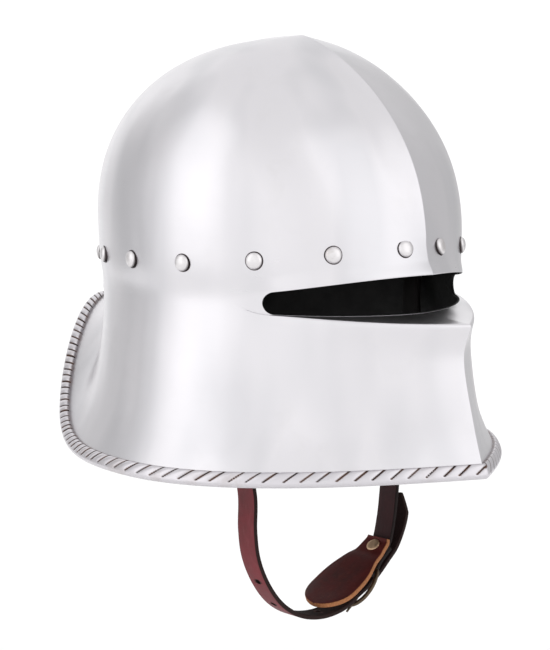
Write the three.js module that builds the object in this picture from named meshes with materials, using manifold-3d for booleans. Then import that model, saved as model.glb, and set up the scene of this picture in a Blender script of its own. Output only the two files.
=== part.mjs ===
// A sallet: a one-piece steel helmet with a long sight slit, a short tail and a buckled chin strap.
// Millimetres, +Z up. The wearer looks along -Y, and the wearer's left is +X.
// The origin is the highest point inside the skull, where the helmet sits on a head.

import * as THREE from "three";
import { mergeVertices } from "three/addons/utils/BufferGeometryUtils.js";
import Module from "manifold-3d";

const wasm = await Module();
wasm.setup();

// Driving dimensions of the steel

const SKULL_WIDTH = 218; // outside, at the brow rivets
const SKULL_FRONT = 115; // brow to the axis of the skull
const SKULL_BACK = 136; // axis to the back of the skull
const CROWN_RISE = 131.5; // brow rivets at the side up to the crown, without the comb
const SKIRT_DROP = 124; // brow rivets at the side down to the rim
const RIM_WIDTH = 259;
const RIM_FRONT = 160; // axis to the front corner of the rim
const TAIL_REACH = 191; // axis to the tip of the tail
const LEDGE_REACH = 148.5; // axis to the front corner of the ledge under the sight
const CROWN_FORWARD = 13; // how far the crown lies in front of the axis
const WALL = 1.6;

const COMB_HEIGHT = 2.4;
const COMB_WIDTH = 14; // where the comb has sunk to a third of its height
const COMB_END = 1.5; // the comb fades out at this row of SECTIONS

const ROLL_HEIGHT = 9; // the edge turned outward over a wire
const ROLL_PROUD = 3.3;

const SLIT_END_ANGLE = 53; // degrees round from the front
const SLIT_TRIM = 0.6; // upright edge left at the lip and at the ledge
const SLIT_END_LENGTH = 3.4; // degrees over which each end is rounded

// Rivets and leather

const RIVETS_PER_SIDE = 8;
const FIRST_RIVET = 15.5; // arc from the brow ridge to the first rivet
const LAST_RIVET = 0.75; // from the last rivet to the middle of the back, as a share of the rivets' pitch
const HEAD_RADIUS = 5;
const HEAD_HEIGHT = 2.9;
const SHANK_RADIUS = 1.9;
const BURR_RADIUS = 3.4;
const BURR_HEIGHT = 1.1;

const GAP = 0.3; // between pieces that touch
const FACET_GAP = 0.5; // more room against the flat facets of a curved wall

const STRAP_SEAT = WALL + GAP + 2 * FACET_GAP; // outer skin to the strap that lies inside the wall
const STRAP_WIDTH = 15;
const STRAP_THICK = 2.8;
const STRAP_TIP = 12; // length of the pointed end
const HOLE_RADIUS = 1.5;
const HOLE_PITCH = 21;
const HOLE_COUNT = 5;
const TONGUE_SLOT = 9;

const PAD_THICK = 3;
const PAD_WIDTH = 37;
const PAD_RIVET_RADIUS = 4.6;
const PAD_RIVET_HEIGHT = 1.1;

const FRAME_BAR = 3;
const FRAME_THICK = 2.6;
const FRAME_REACH = 27; // bar to the far end of the frame
const FRAME_WIDTH = 28;
const TONGUE_RADIUS = 1.1;
const TONGUE_EYE_WIDTH = 3.4;
const FOLD_SLOT = 4.4;

// Sections of the skin from the shoulder of the skull down to the rim. drop is the depth under the brow
// rivets at the front, side and back, as shares of SKIRT_DROP. width goes from SKULL_WIDTH at 0 to RIM_WIDTH
// at 1, front from SKULL_FRONT to RIM_FRONT and back from SKULL_BACK to TAIL_REACH. keen is how pointed the
// section is at the front and back: 0 is an ellipse, 1 a ridge.
const SECTIONS = [
  { name: "shoulder", drop: [-0.12, -0.242, -0.185], width: 0.05, front: -0.067, back: 0.035, keen: [0.12, 0.16] },
  { name: "brow", drop: [-0.068, 0, 0.052], width: 0, front: -0.027, back: 0, keen: [0.15, 0.16] },
  { name: "lip", drop: [0.05, 0.16, 0.13], width: -0.15, front: 0.08, back: -0.02, keen: [0.27, 0.2] },
  { name: "ledge", drop: [0.238, 0.212, 0.15], width: -0.16, front: -0.045, back: 0.06, keen: [0.1, 0.22] },
  { name: "fold", drop: [0.268, 0.2, 0.17], width: -0.17, front: "ledge", back: 0.12, keen: [0.74, 0.25] },
  { name: "waist", drop: [0.44, 0.45, 0.24], width: 0.05, front: 0.63, back: 0.29, keen: [0.72, 0.42] },
  { name: "hip", drop: [0.74, 0.74, 0.305], width: 0.39, front: 0.81, back: 0.58, keen: [0.78, 0.55] },
  { name: "rim", drop: [0.97, 1, 0.34], width: 1, front: 1, back: 1, keen: [0.62, 0.5] },
];
const BROW = 1;
const LIP = 2;
const LEDGE = 3;
const FOLD = 4;
const RIM = 7;
const SMOOTH_AFTER = 12; // degrees past the slit over which lip, ledge and fold melt into one curve

// How the dome narrows from the shoulder to the crown, as powers of the sine of its height angle
const DOME_FRONT = 1.52;
const DOME_BACK = 0.7;
const DOME_WIDTH = 0.91;
const DOME_HEIGHT = 0.97;
const TAIL_LIFT = 4.8; // how late the rim rises towards the tail

const DEGREE = Math.PI / 180;
const lerp = (a, b, k) => a + (b - a) * k;
const clamp01 = (k) => Math.min(1, Math.max(0, k));
const ease = (k) => clamp01(k) ** 2 * (3 - 2 * clamp01(k));

const front = (share) =>
  share === "ledge" ? LEDGE_REACH : lerp(SKULL_FRONT, RIM_FRONT, share);
const rows = SECTIONS.map((s) => [
  ...s.drop.map((share) => -share * SKIRT_DROP),
  lerp(SKULL_WIDTH, RIM_WIDTH, s.width) / 2,
  front(s.front),
  lerp(SKULL_BACK, TAIL_REACH, s.back),
  ...s.keen,
]);

// A smooth curve through a list of rows, evaluated at index v
function through(list, v) {
  const last = list.length - 1;
  const i = Math.min(last - 1, Math.max(0, Math.floor(v)));
  const k = v - i;
  const here = list[i];
  const next = list[i + 1];
  return here.map((b, j) => {
    const c = next[j];
    const a = i > 0 ? list[i - 1][j] : 2 * b - c;
    const d = i + 1 < last ? list[i + 2][j] : 2 * c - b;
    const bend = (2 * a - 5 * b + 4 * c - d) * k + (3 * b - a - 3 * c + d) * k * k;
    return b + 0.5 * k * (c - a + bend);
  });
}

const upperRows = rows.slice(0, LIP + 1);
const lowerRows = rows.slice(FOLD);
const smoothRows = rows.filter((_, i) => i !== LEDGE);

// The section at v, with the corners of the sight kept where it is open and melted away beyond it
function section(v, t) {
  let sharp;
  if (v <= LIP) sharp = through(upperRows, v);
  else if (v >= FOLD) sharp = through(lowerRows, v - FOLD);
  else sharp = rows[Math.floor(v)].map((a, j) => lerp(a, rows[Math.floor(v) + 1][j], v % 1));
  let melted = v;
  if (v > LIP) melted = v < FOLD ? LIP + (v - LIP) / 2 : v - 1;
  const smooth = through(smoothRows, melted);
  const k = ease((t / DEGREE - SLIT_END_ANGLE) / SMOOTH_AFTER);
  return sharp.map((a, j) => lerp(a, smooth[j], k));
}

// A point of the outer skin. v runs from -1 at the crown through the rows of SECTIONS, and t from 0 at the
// front to PI at the back of one side, -1 being the wearer's right and 1 the left.
function skin(v, t, side) {
  const [dropFront, dropSide, dropBack, half, reachFront, reachBack, keenFront, keenBack] = section(Math.max(v, 0), t);
  const angle = clamp01(1 + v) * (Math.PI / 2);
  const spread = v < 0 ? Math.sin(angle) : 1;
  const linear = 1 - (2 * t) / Math.PI;
  const ahead = t < Math.PI / 2;
  const x = half * Math.sin(t) * spread ** DOME_WIDTH;
  let y = ahead
    ? -reachFront * lerp(Math.cos(t), linear, keenFront) * spread ** DOME_FRONT
    : -reachBack * lerp(Math.cos(t), linear, keenBack) * spread ** DOME_BACK;
  y -= CROWN_FORWARD * (1 - spread);
  const turn = Math.abs(Math.cos(t));
  let z = ahead
    ? lerp(dropSide, dropFront, turn ** 2)
    : lerp(dropSide, dropBack, turn ** TAIL_LIFT);
  if (v < 0) z = lerp(z, CROWN_RISE, Math.cos(angle) ** DOME_HEIGHT);
  const point = new THREE.Vector3(side * x, y, z);
  const fade = clamp01(1 - Math.max(v, 0) / COMB_END);
  const comb = COMB_HEIGHT * Math.exp(-x / COMB_WIDTH) * fade;
  const away = new THREE.Vector3(0, y / SKULL_BACK, Math.max(z + 20, 0) / (CROWN_RISE + 20));
  return point.addScaledVector(away.normalize(), comb);
}

// The shift that brings the inside of the crown to the origin
const toOrigin = new THREE.Vector3(0, CROWN_FORWARD, WALL - CROWN_RISE - COMB_HEIGHT);

// Rivet angles, from equal arcs along the brow
function browAngles() {
  const steps = 360;
  const arc = [0];
  for (let i = 1; i <= steps; i++) {
    const a = skin(BROW, ((i - 1) * Math.PI) / steps, 1);
    const b = skin(BROW, (i * Math.PI) / steps, 1);
    arc.push(arc[i - 1] + a.distanceTo(b));
  }
  const pitch = (arc[steps] - FIRST_RIVET) / (RIVETS_PER_SIDE - 1 + LAST_RIVET);
  return Array.from({ length: RIVETS_PER_SIDE }, (_, n) => {
    const wanted = FIRST_RIVET + n * pitch;
    const i = arc.findIndex((length) => length > wanted);
    const share = (wanted - arc[i - 1]) / (arc[i] - arc[i - 1]);
    return ((i - 1 + share) * Math.PI) / steps;
  });
}
const rivetAngles = browAngles();

// Geometry helpers

// One closed solid from rings of points: side faces between rings, and a fan or cap at both ends
function loft(rings, { closed = false } = {}) {
  const count = rings[0].length;
  const points = rings.flat();
  const index = [];
  const quads = closed ? rings.length : rings.length - 1;
  for (let r = 0; r < quads; r++) {
    const a = r * count;
    const b = ((r + 1) % rings.length) * count;
    for (let i = 0; i < count; i++) {
      const j = (i + 1) % count;
      index.push(a + i, b + i, a + j, a + j, b + i, b + j);
    }
  }
  if (!closed) {
    for (const [ring, flip] of [[0, false], [rings.length - 1, true]]) {
      const middle = rings[ring].reduce((sum, p) => sum.add(p), new THREE.Vector3());
      points.push(middle.divideScalar(count));
      const centre = points.length - 1;
      for (let i = 0; i < count; i++) {
        const a = ring * count + i;
        const b = ring * count + ((i + 1) % count);
        if (flip) index.push(centre, b, a);
        else index.push(centre, a, b);
      }
    }
  }
  const geometry = new THREE.BufferGeometry().setFromPoints(points);
  geometry.setIndex(index);
  return geometry;
}

// A geometry as a solid for cutting and joining
function solid(geometry) {
  const bare = new THREE.BufferGeometry();
  bare.setAttribute("position", geometry.getAttribute("position"));
  if (geometry.index) bare.setIndex(geometry.index);
  const merged = mergeVertices(bare, 1e-3);
  const made = new wasm.Manifold(
    new wasm.Mesh({
      numProp: 3,
      vertProperties: merged.attributes.position.array,
      triVerts: new Uint32Array(merged.index.array),
    }),
  );
  return made;
}

function geometryOf(made) {
  const mesh = made.getMesh();
  const geometry = new THREE.BufferGeometry();
  const positions = new Float32Array(mesh.vertProperties);
  geometry.setAttribute("position", new THREE.BufferAttribute(positions, 3));
  geometry.setIndex(new THREE.BufferAttribute(new Uint32Array(mesh.triVerts), 1));
  return geometry;
}

// Places a geometry so that its Y axis points along axis from point
function along(geometry, point, axis) {
  const turn = new THREE.Quaternion().setFromUnitVectors(new THREE.Vector3(0, 1, 0), axis);
  return geometry.applyQuaternion(turn).translate(point.x, point.y, point.z);
}

function cylinder(point, axis, radius, from, to, sides = 10) {
  const made = new THREE.CylinderGeometry(radius, radius, to - from, sides);
  made.translate(0, (from + to) / 2, 0);
  return along(made, point, axis);
}

// Shell

const BETWEEN_RIVETS = 3; // columns of facets from one rivet to the next
const DOME_ROWS = [0.07, 0.17, 0.3, 0.45, 0.62, 0.81];
const SKIRT_ROWS = [0, BROW, 1.5, LIP, LEDGE, FOLD, 4.4, 5, 5.6, 6.2];

function columnAngles() {
  const half = [0];
  rivetAngles.forEach((angle, n) => {
    const previous = n > 0 ? rivetAngles[n - 1] : 0;
    const steps = n > 0 ? BETWEEN_RIVETS : 1;
    for (let i = 1; i <= steps; i++) half.push(lerp(previous, angle, i / steps));
  });
  const last = rivetAngles.at(-1);
  half.push(lerp(last, Math.PI, 0.5));
  const right = half.map((t) => ({ t, side: -1 }));
  const left = half.slice(1).reverse().map((t) => ({ t, side: 1 }));
  return [...right, { t: Math.PI, side: 1 }, ...left];
}
const columns = columnAngles();

// Outward direction of the faceted skin at each point of a grid of rings
function gridNormals(rings, pole) {
  const count = rings[0].length;
  return rings.map((ring, r) =>
    ring.map((p, i) => {
      const sum = new THREE.Vector3();
      const up = r > 0 ? rings[r - 1] : rings[0].map(() => pole);
      const down = rings[r + 1];
      const before = (i + count - 1) % count;
      const after = (i + 1) % count;
      const corners = [[ring[before], up[i]], [up[i], ring[after]]];
      if (down) corners.push([down[i], ring[before]], [ring[after], down[i]]);
      for (const [a, b] of corners) {
        const face = new THREE.Vector3().crossVectors(
          new THREE.Vector3().subVectors(a, p),
          new THREE.Vector3().subVectors(b, p),
        );
        if (face.lengthSq() > 0) sum.add(face.normalize());
      }
      return sum.normalize();
    }),
  );
}

function shellSolid() {
  const stops = [...DOME_ROWS.map((u) => u - 1), ...SKIRT_ROWS];
  const outer = stops.map((v) => columns.map(({ t, side }) => skin(v, t, side)));
  const rollTop = columns.map(({ t, side }) => {
    const end = skin(RIM, t, side);
    const slope = end.distanceTo(skin(RIM - 0.1, t, side)) / 0.1;
    return skin(RIM - ROLL_HEIGHT / slope, t, side);
  });
  outer.push(rollTop);
  const rim = columns.map(({ t, side }) => skin(RIM, t, side));
  const pole = skin(-1, 0, 1);
  const normals = gridNormals([...outer, rim], pole);
  const inner = outer.map((ring, r) =>
    ring.map((p, i) => p.clone().addScaledVector(normals[r][i], -WALL)),
  );
  // The rolled edge: share of its height above the rim, and how far it stands out of the skin
  const roll = [
    { up: 1, out: 0.45 },
    { up: 0.84, out: 0.9 },
    { up: 0.5, out: 1 },
    { up: 0.18, out: 0.8 },
    { up: 0, out: 0.2 },
    { up: 0.1, out: -0.4 },
  ];
  const edge = roll.map(({ up, out }) =>
    rim.map((p, i) => {
      const normal = normals.at(-1)[i];
      return new THREE.Vector3()
        .lerpVectors(p, rollTop[i], up)
        .addScaledVector(normal, out * ROLL_PROUD);
    }),
  );
  const innerPole = pole.clone().setZ(pole.z - WALL);
  const geometry = loft([...inner, ...edge.reverse(), ...outer.reverse()]);
  const place = geometry.attributes.position;
  place.setXYZ(place.count - 2, ...innerPole.toArray());
  place.setXYZ(place.count - 1, ...pole.toArray());
  return solid(geometry);
}

// The sight: a bent bar that opens the wall from the ledge's inner edge up to the lip, right round the face
function sightCutter() {
  const rings = [];
  const steps = 32;
  const blunt = SLIT_END_ANGLE - SLIT_END_LENGTH;
  for (let i = 0; i <= steps; i++) {
    const angle = lerp(-SLIT_END_ANGLE, SLIT_END_ANGLE, i / steps);
    rings.push(angle);
    if (i === 0) rings.push(-SLIT_END_ANGLE + 0.4, -SLIT_END_ANGLE + 1.4);
    if (i === steps - 1) rings.push(SLIT_END_ANGLE - 1.4, SLIT_END_ANGLE - 0.4);
  }
  return solid(
    loft(
      rings.map((angle) => {
        const t = Math.abs(angle) * DEGREE;
        const side = angle < 0 ? -1 : 1;
        const lip = skin(LIP, t, side);
        const low = skin(LEDGE, t, side);
        const past = clamp01((Math.abs(angle) - blunt) / SLIT_END_LENGTH);
        const open = Math.max(0.1, Math.sqrt(1 - past * past));
        const middle = (lip.z + low.z) / 2;
        const half = ((lip.z - low.z) / 2 - SLIT_TRIM) * open;
        return [
          [0.75, -1],
          [1.4, -1],
          [1.4, 1],
          [0.75, 1],
        ].map(([k, up]) => new THREE.Vector3(lip.x * k, lip.y * k, middle + up * half));
      }),
    ),
  );
}

const browPlace = (t, side) => {
  const point = skin(BROW, t, side);
  const step = 1e-3;
  const down = new THREE.Vector3().subVectors(skin(BROW + step, t, side), skin(BROW - step, t, side));
  const round = new THREE.Vector3().subVectors(skin(BROW, t + step, side), skin(BROW, t - step, side));
  const out = new THREE.Vector3().crossVectors(round, down).multiplyScalar(-side);
  return { point, out: out.normalize(), down: down.normalize(), round: round.normalize() };
};

// The rivet in the middle of each side also holds a strap
const strapRivet = Math.floor(RIVETS_PER_SIDE / 2);

const rivets = [];
for (const [side, name] of [[-1, "right"], [1, "left"]]) {
  rivetAngles.forEach((t, n) => {
    const holdsStrap = n + 1 === strapRivet;
    rivets.push({ name: "brow_rivet_" + name + "_" + (n + 1), side, holdsStrap, ...browPlace(t, side) });
  });
}

function helmetShell() {
  let shell = shellSolid().subtract(sightCutter());
  for (const { point, out } of rivets)
    shell = shell.subtract(solid(cylinder(point, out, SHANK_RADIUS + GAP, -2 * WALL, 2 * WALL)));
  return geometryOf(shell);
}

// A domed rivet: head outside, shank through the wall and the strap, and a burr hammered over inside
function browRivet({ holdsStrap }) {
  const under = holdsStrap ? STRAP_SEAT + STRAP_THICK + GAP : WALL + GAP + FACET_GAP;
  const dome = [0, 0.3, 0.6, 0.85, 1].map((k) => [
    HEAD_RADIUS * Math.sin((k * Math.PI) / 2),
    GAP + HEAD_HEIGHT * Math.cos((k * Math.PI) / 2),
  ]);
  const profile = [
    [0, -under - BURR_HEIGHT],
    [BURR_RADIUS * 0.7, -under - BURR_HEIGHT],
    [BURR_RADIUS, -under],
    [SHANK_RADIUS, -under],
    [SHANK_RADIUS, GAP],
    ...dome.reverse(),
  ];
  return new THREE.LatheGeometry(profile.map(([r, h]) => new THREE.Vector2(r, h)), 10);
}

// Leather

// A strip of leather along a route. across gives its width direction and width at each share of its length.
function strip(route, thick, widthAt, acrossAt, steps) {
  const curve = new THREE.CatmullRomCurve3(route, false, "centripetal");
  const rings = [];
  for (let i = 0; i <= steps; i++) {
    const share = i / steps;
    const point = curve.getPointAt(share);
    const tangent = curve.getTangentAt(share);
    const across = acrossAt(share).clone();
    across.addScaledVector(tangent, -across.dot(tangent)).normalize();
    const face = new THREE.Vector3().crossVectors(tangent, across);
    const half = widthAt(share) / 2;
    rings.push(
      [[-1, -1], [-1, 1], [1, 1], [1, -1]].map(([a, f]) =>
        point.clone().addScaledVector(across, a * half).addScaledVector(face, (f * thick) / 2),
      ),
    );
  }
  const made = solid(loft(rings));
  return { made, curve };
}

// The buckle's own frame: s runs up the wearer's left along the strap from the bar, n away from the chin
const STRAP_Y = -30; // the straps hang in this plane below the rim
const BAR = new THREE.Vector3(42, STRAP_Y, -206);
const ALONG = new THREE.Vector3(0.8, 0, 0.6);
const AWAY = new THREE.Vector3(0.6, 0, -0.8);
const SIDEWAYS = new THREE.Vector3(0, 1, 0);
const atBuckle = (s, n, y = 0) =>
  BAR.clone().addScaledVector(ALONG, s).addScaledVector(AWAY, n).addScaledVector(SIDEWAYS, y);

const FOLD_RADIUS = Math.hypot(FRAME_BAR, FRAME_THICK) / 2 + GAP + STRAP_THICK / 2;
const PLY = (STRAP_THICK + GAP) / 2; // middle of the fold to the middle of either layer
const PAD_RIVET_AT = 14; // along the strap from the bar
const OVER_FOLD = FOLD_RADIUS + STRAP_THICK + GAP;
const OVER_BURR = PLY + STRAP_THICK + 2 * GAP + PAD_RIVET_HEIGHT;
const END_BAR = OVER_FOLD + 0.8; // how far the end of the frame stands away
const UNDER_BAR = END_BAR - FRAME_THICK / 2 - GAP - STRAP_THICK / 2;

function hang(side) {
  const rivet = rivets.find((r) => r.holdsStrap && r.side === side);
  const seat = STRAP_SEAT + STRAP_THICK / 2;
  return [[-9, 0], [0, 0], [12, 1.6], [24, 4.6]].map(([down, inward]) =>
    rivet.point
      .clone()
      .addScaledVector(rivet.down, down)
      .addScaledVector(rivet.out, -seat - inward),
  );
}

const strapAcross = (side) => (share) => {
  const rivet = rivets.find((r) => r.holdsStrap && r.side === side);
  const top = rivet.round;
  return new THREE.Vector3().lerpVectors(top, SIDEWAYS, ease(share * 3));
};

const flat = (x, z) => new THREE.Vector3(x, STRAP_Y, z);

// The hanging routes below the rim, in the plane of the straps
const LONG_ROUTE = [
  ...hang(-1),
  new THREE.Vector3(-88, -26, -60),
  new THREE.Vector3(-72, -29, -108),
  flat(-63, -140),
  flat(-63.5, -163),
  flat(-60, -180),
  flat(-51.5, -198),
  flat(-39, -213),
  flat(-23, -223),
  flat(-5, -227.5),
  flat(12, -227),
  atBuckle(-26, UNDER_BAR - 1.9),
  atBuckle(-22, UNDER_BAR - 1.6),
  atBuckle(-11, OVER_FOLD - 1.3),
  atBuckle(0, OVER_FOLD),
  atBuckle(PAD_RIVET_AT, OVER_BURR + 0.3),
  atBuckle(25, OVER_BURR - 0.6),
  flat(73.8, -179),
  flat(76, -162),
];

const arc = [-90, -135, 180, 135, 90].map((degrees) =>
  atBuckle(FOLD_RADIUS * Math.cos(degrees * DEGREE), FOLD_RADIUS * Math.sin(degrees * DEGREE)),
);
const BUCKLE_ROUTE = [
  ...hang(1),
  new THREE.Vector3(89, -26, -60),
  new THREE.Vector3(74.5, -29, -108),
  flat(67, -138),
  flat(64.5, -160),
  flat(62, -177),
  atBuckle(20, -PLY),
  atBuckle(PAD_RIVET_AT, -PLY),
  atBuckle(PAD_RIVET_AT - 5, -PLY),
  atBuckle(4.5, -PLY - 1.2),
  ...arc,
  atBuckle(4.5, PLY + 1.2),
  atBuckle(PAD_RIVET_AT - 5, PLY),
  atBuckle(PAD_RIVET_AT, PLY),
  atBuckle(20, PLY),
];

const PAD_DEPTH = PLY + STRAP_THICK / 2 + GAP + PAD_THICK / 2;
const PAD_OVER_FOLD = FOLD_RADIUS + STRAP_THICK / 2 + GAP + PAD_THICK / 2;
const PAD_ROUTE = [
  atBuckle(21, -PAD_DEPTH - 1.4),
  atBuckle(PAD_RIVET_AT + 4.6, -PAD_DEPTH - 0.1),
  atBuckle(PAD_RIVET_AT, -PAD_DEPTH),
  atBuckle(PAD_RIVET_AT - 6, -PAD_DEPTH - 0.1),
  atBuckle(1, -PAD_OVER_FOLD - 0.1),
  atBuckle(-15, -PAD_OVER_FOLD - 2.4),
  atBuckle(-31, -12),
  atBuckle(-47, -16.5),
];

// Width of the pad along its length, as shares of both
const PAD_OUTLINE = [
  { at: 0, wide: 0.36 },
  { at: 0.04, wide: 0.4 },
  { at: 0.2, wide: 0.48 },
  { at: 0.34, wide: 0.66 },
  { at: 0.46, wide: 0.86 },
  { at: 0.58, wide: 0.98 },
  { at: 0.7, wide: 1 },
  { at: 0.82, wide: 0.9 },
  { at: 0.92, wide: 0.68 },
  { at: 0.98, wide: 0.4 },
  { at: 1, wide: 0.2 },
];

function padWidth(share) {
  const i = PAD_OUTLINE.findIndex((row) => row.at >= share);
  if (i <= 0) return PAD_OUTLINE[0].wide * PAD_WIDTH;
  const a = PAD_OUTLINE[i - 1];
  const b = PAD_OUTLINE[i];
  return lerp(a.wide, b.wide, (share - a.at) / (b.at - a.at)) * PAD_WIDTH;
}

// A hole punched square through a strip at a share of its length
function punch(curve, share, radius, length = 0) {
  const point = curve.getPointAt(share);
  const tangent = curve.getTangentAt(share);
  const through = new THREE.Vector3().crossVectors(tangent, SIDEWAYS).normalize();
  const reach = STRAP_THICK;
  if (!length) return solid(cylinder(point, through, radius, -reach, reach, 8));
  const slot = new THREE.BoxGeometry(length, 2 * reach, 2 * radius);
  const basis = new THREE.Matrix4().makeBasis(tangent, through, SIDEWAYS.clone().negate());
  slot.applyMatrix4(basis).translate(point.x, point.y, point.z);
  return solid(slot);
}

const strapHole = (side) => {
  const rivet = rivets.find((r) => r.holdsStrap && r.side === side);
  return solid(cylinder(rivet.point, rivet.out, SHANK_RADIUS + GAP, -4 * STRAP_THICK, STRAP_THICK));
};

// Share of a curve's length that lies nearest to a point
function shareNear(curve, wanted) {
  let best = 0;
  for (let i = 0; i <= 800; i++) {
    const share = i / 800;
    const near = curve.getPointAt(best).distanceTo(wanted);
    if (curve.getPointAt(share).distanceTo(wanted) < near) best = share;
  }
  return best;
}

const TONGUE_CROSSES = -9.5; // along the strap from the bar

function longStrap() {
  const length = new THREE.CatmullRomCurve3(LONG_ROUTE, false, "centripetal").getLength();
  const tip = STRAP_TIP / length;
  const width = (share) => STRAP_WIDTH * lerp(0.15, 1, clamp01((1 - share) / tip));
  const { made, curve } = strip(LONG_ROUTE, STRAP_THICK, width, strapAcross(-1), 82);
  const slot = shareNear(curve, atBuckle(TONGUE_CROSSES, OVER_FOLD - 1));
  let strap = made.subtract(strapHole(-1));
  strap = strap.subtract(punch(curve, slot, TONGUE_RADIUS + GAP + 0.2, TONGUE_SLOT));
  for (let n = 1; n <= HOLE_COUNT; n++)
    strap = strap.subtract(punch(curve, slot - (n * HOLE_PITCH) / length, HOLE_RADIUS));
  return geometryOf(strap);
}

const padRivetHole = () =>
  solid(cylinder(atBuckle(PAD_RIVET_AT, 0), AWAY, SHANK_RADIUS + GAP, -9, PLY + STRAP_THICK));

function buckleStrap() {
  const { made } = strip(BUCKLE_ROUTE, STRAP_THICK, () => STRAP_WIDTH, strapAcross(1), 78);
  const slot = new THREE.BoxGeometry(FOLD_RADIUS + STRAP_THICK + 4, 4 * FOLD_RADIUS, FOLD_SLOT);
  slot.translate(-(FOLD_RADIUS + STRAP_THICK + 4) / 2 + 3.2, 0, 0);
  const basis = new THREE.Matrix4().makeBasis(ALONG, AWAY, SIDEWAYS);
  slot.applyMatrix4(basis).translate(BAR.x, BAR.y, BAR.z);
  return geometryOf(made.subtract(solid(slot)).subtract(strapHole(1)).subtract(padRivetHole()));
}

function chinPad() {
  const { made } = strip(PAD_ROUTE, PAD_THICK, padWidth, () => SIDEWAYS, 26);
  return geometryOf(made.subtract(padRivetHole()));
}

function padRivet() {
  const top = PAD_DEPTH + PAD_THICK / 2 + GAP + FACET_GAP / 2;
  const burr = PLY + STRAP_THICK / 2 + GAP;
  const profile = [
    [0, -top - PAD_RIVET_HEIGHT],
    [PAD_RIVET_RADIUS * 0.8, -top - PAD_RIVET_HEIGHT],
    [PAD_RIVET_RADIUS, -top - PAD_RIVET_HEIGHT / 2],
    [PAD_RIVET_RADIUS, -top],
    [SHANK_RADIUS, -top],
    [SHANK_RADIUS, burr],
    [BURR_RADIUS, burr],
    [BURR_RADIUS * 0.8, burr + PAD_RIVET_HEIGHT * 0.8],
    [0, burr + PAD_RIVET_HEIGHT * 0.8],
  ];
  return new THREE.LatheGeometry(profile.map(([r, h]) => new THREE.Vector2(r, h)), 14);
}

// Buckle

const TILT = Math.atan2(END_BAR, FRAME_REACH);

// A D: part of an ellipse closed by the straight bar, inset by the width of the metal
function dOutline(inset) {
  const centre = FRAME_REACH * 0.34;
  const long = FRAME_REACH - centre + FRAME_BAR / 2 - inset;
  const wide = FRAME_WIDTH / 2 - inset;
  const bar = inset ? FRAME_BAR / 2 : -FRAME_BAR / 2;
  const start = Math.acos((bar - centre) / long);
  const steps = 18;
  return Array.from({ length: steps + 1 }, (_, i) => {
    const angle = lerp(-start, start, i / steps);
    return new THREE.Vector2(-(centre + long * Math.cos(angle)), wide * Math.sin(angle));
  });
}

// Turns a shape drawn with x along the strap and y across it into the frame's plane
function intoFrame(geometry) {
  const along = ALONG.clone().multiplyScalar(Math.cos(TILT)).addScaledVector(AWAY, -Math.sin(TILT));
  const away = AWAY.clone().multiplyScalar(Math.cos(TILT)).addScaledVector(ALONG, Math.sin(TILT));
  const basis = new THREE.Matrix4().makeBasis(along, SIDEWAYS.clone().negate(), away);
  return geometry.applyMatrix4(basis).translate(BAR.x, BAR.y, BAR.z);
}

function buckleFrame() {
  const outline = dOutline(0);
  const window = dOutline(FRAME_BAR);
  const bevel = 0.5;
  const flat = FRAME_THICK / 2;
  // Share of the way from the outline in to the window, and height, of the corners of the metal's section
  const corners = [
    [1 - bevel / FRAME_BAR, -flat],
    [1, bevel - flat],
    [1, flat - bevel],
    [1 - bevel / FRAME_BAR, flat],
    [bevel / FRAME_BAR, flat],
    [0, flat - bevel],
    [0, bevel - flat],
    [bevel / FRAME_BAR, -flat],
  ];
  const rings = outline.map((edge, i) =>
    corners.map(([share, height]) => {
      const p = edge.clone().lerp(window[i], share);
      return new THREE.Vector3(p.x, p.y, height);
    }),
  );
  return geometryOf(solid(intoFrame(loft(rings, { closed: true }))));
}

function buckleTongue() {
  const clear = Math.hypot(FRAME_BAR, FRAME_THICK) / 2 + GAP;
  const rest = END_BAR + FRAME_THICK / 2 + GAP + TONGUE_RADIUS;
  const route = new THREE.CatmullRomCurve3(
    [
      atBuckle(-clear - 0.4, 0.3),
      atBuckle(-5.5, 2.2),
      atBuckle(TONGUE_CROSSES + 1, OVER_FOLD - 0.6),
      atBuckle(-14, rest - 0.5),
      atBuckle(-21, rest + 0.2),
      atBuckle(-FRAME_REACH - 2.5, rest + 0.2),
    ],
    false,
    "centripetal",
  );
  const sides = 8;
  const round = Array.from({ length: sides }, (_, i) => {
    const angle = (i / sides) * 2 * Math.PI;
    return new THREE.Vector2(TONGUE_RADIUS * Math.cos(angle), TONGUE_RADIUS * Math.sin(angle));
  });
  const rod = solid(new THREE.ExtrudeGeometry(new THREE.Shape(round), { steps: 16, extrudePath: route }));
  const ring = solid(cylinder(BAR, SIDEWAYS, clear + 1.2, -TONGUE_EYE_WIDTH / 2, TONGUE_EYE_WIDTH / 2, 14));
  const bore = solid(cylinder(BAR, SIDEWAYS, clear, -TONGUE_EYE_WIDTH, TONGUE_EYE_WIDTH, 14));
  return geometryOf(ring.add(rod).subtract(bore));
}

// Assembly

const steel = { color: 0xc9c8cf, roughness: 0.22, metalness: 1 };
const rivetSteel = { color: 0xaeacb0, roughness: 0.3, metalness: 1 };
const leather = { color: 0x5c2a2c, roughness: 0.5, metalness: 0 };
const padLeather = { color: 0x4a2022, roughness: 0.6, metalness: 0 };
const brass = { color: 0x8f7650, roughness: 0.45, metalness: 1 };
const darkBrass = { color: 0x4b3f33, roughness: 0.5, metalness: 1 };

function piece(name, geometry, finish) {
  const mesh = new THREE.Mesh(geometry, new THREE.MeshStandardMaterial(finish));
  mesh.name = name;
  return mesh;
}

const sallet = new THREE.Group();
sallet.position.copy(toOrigin);

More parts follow.
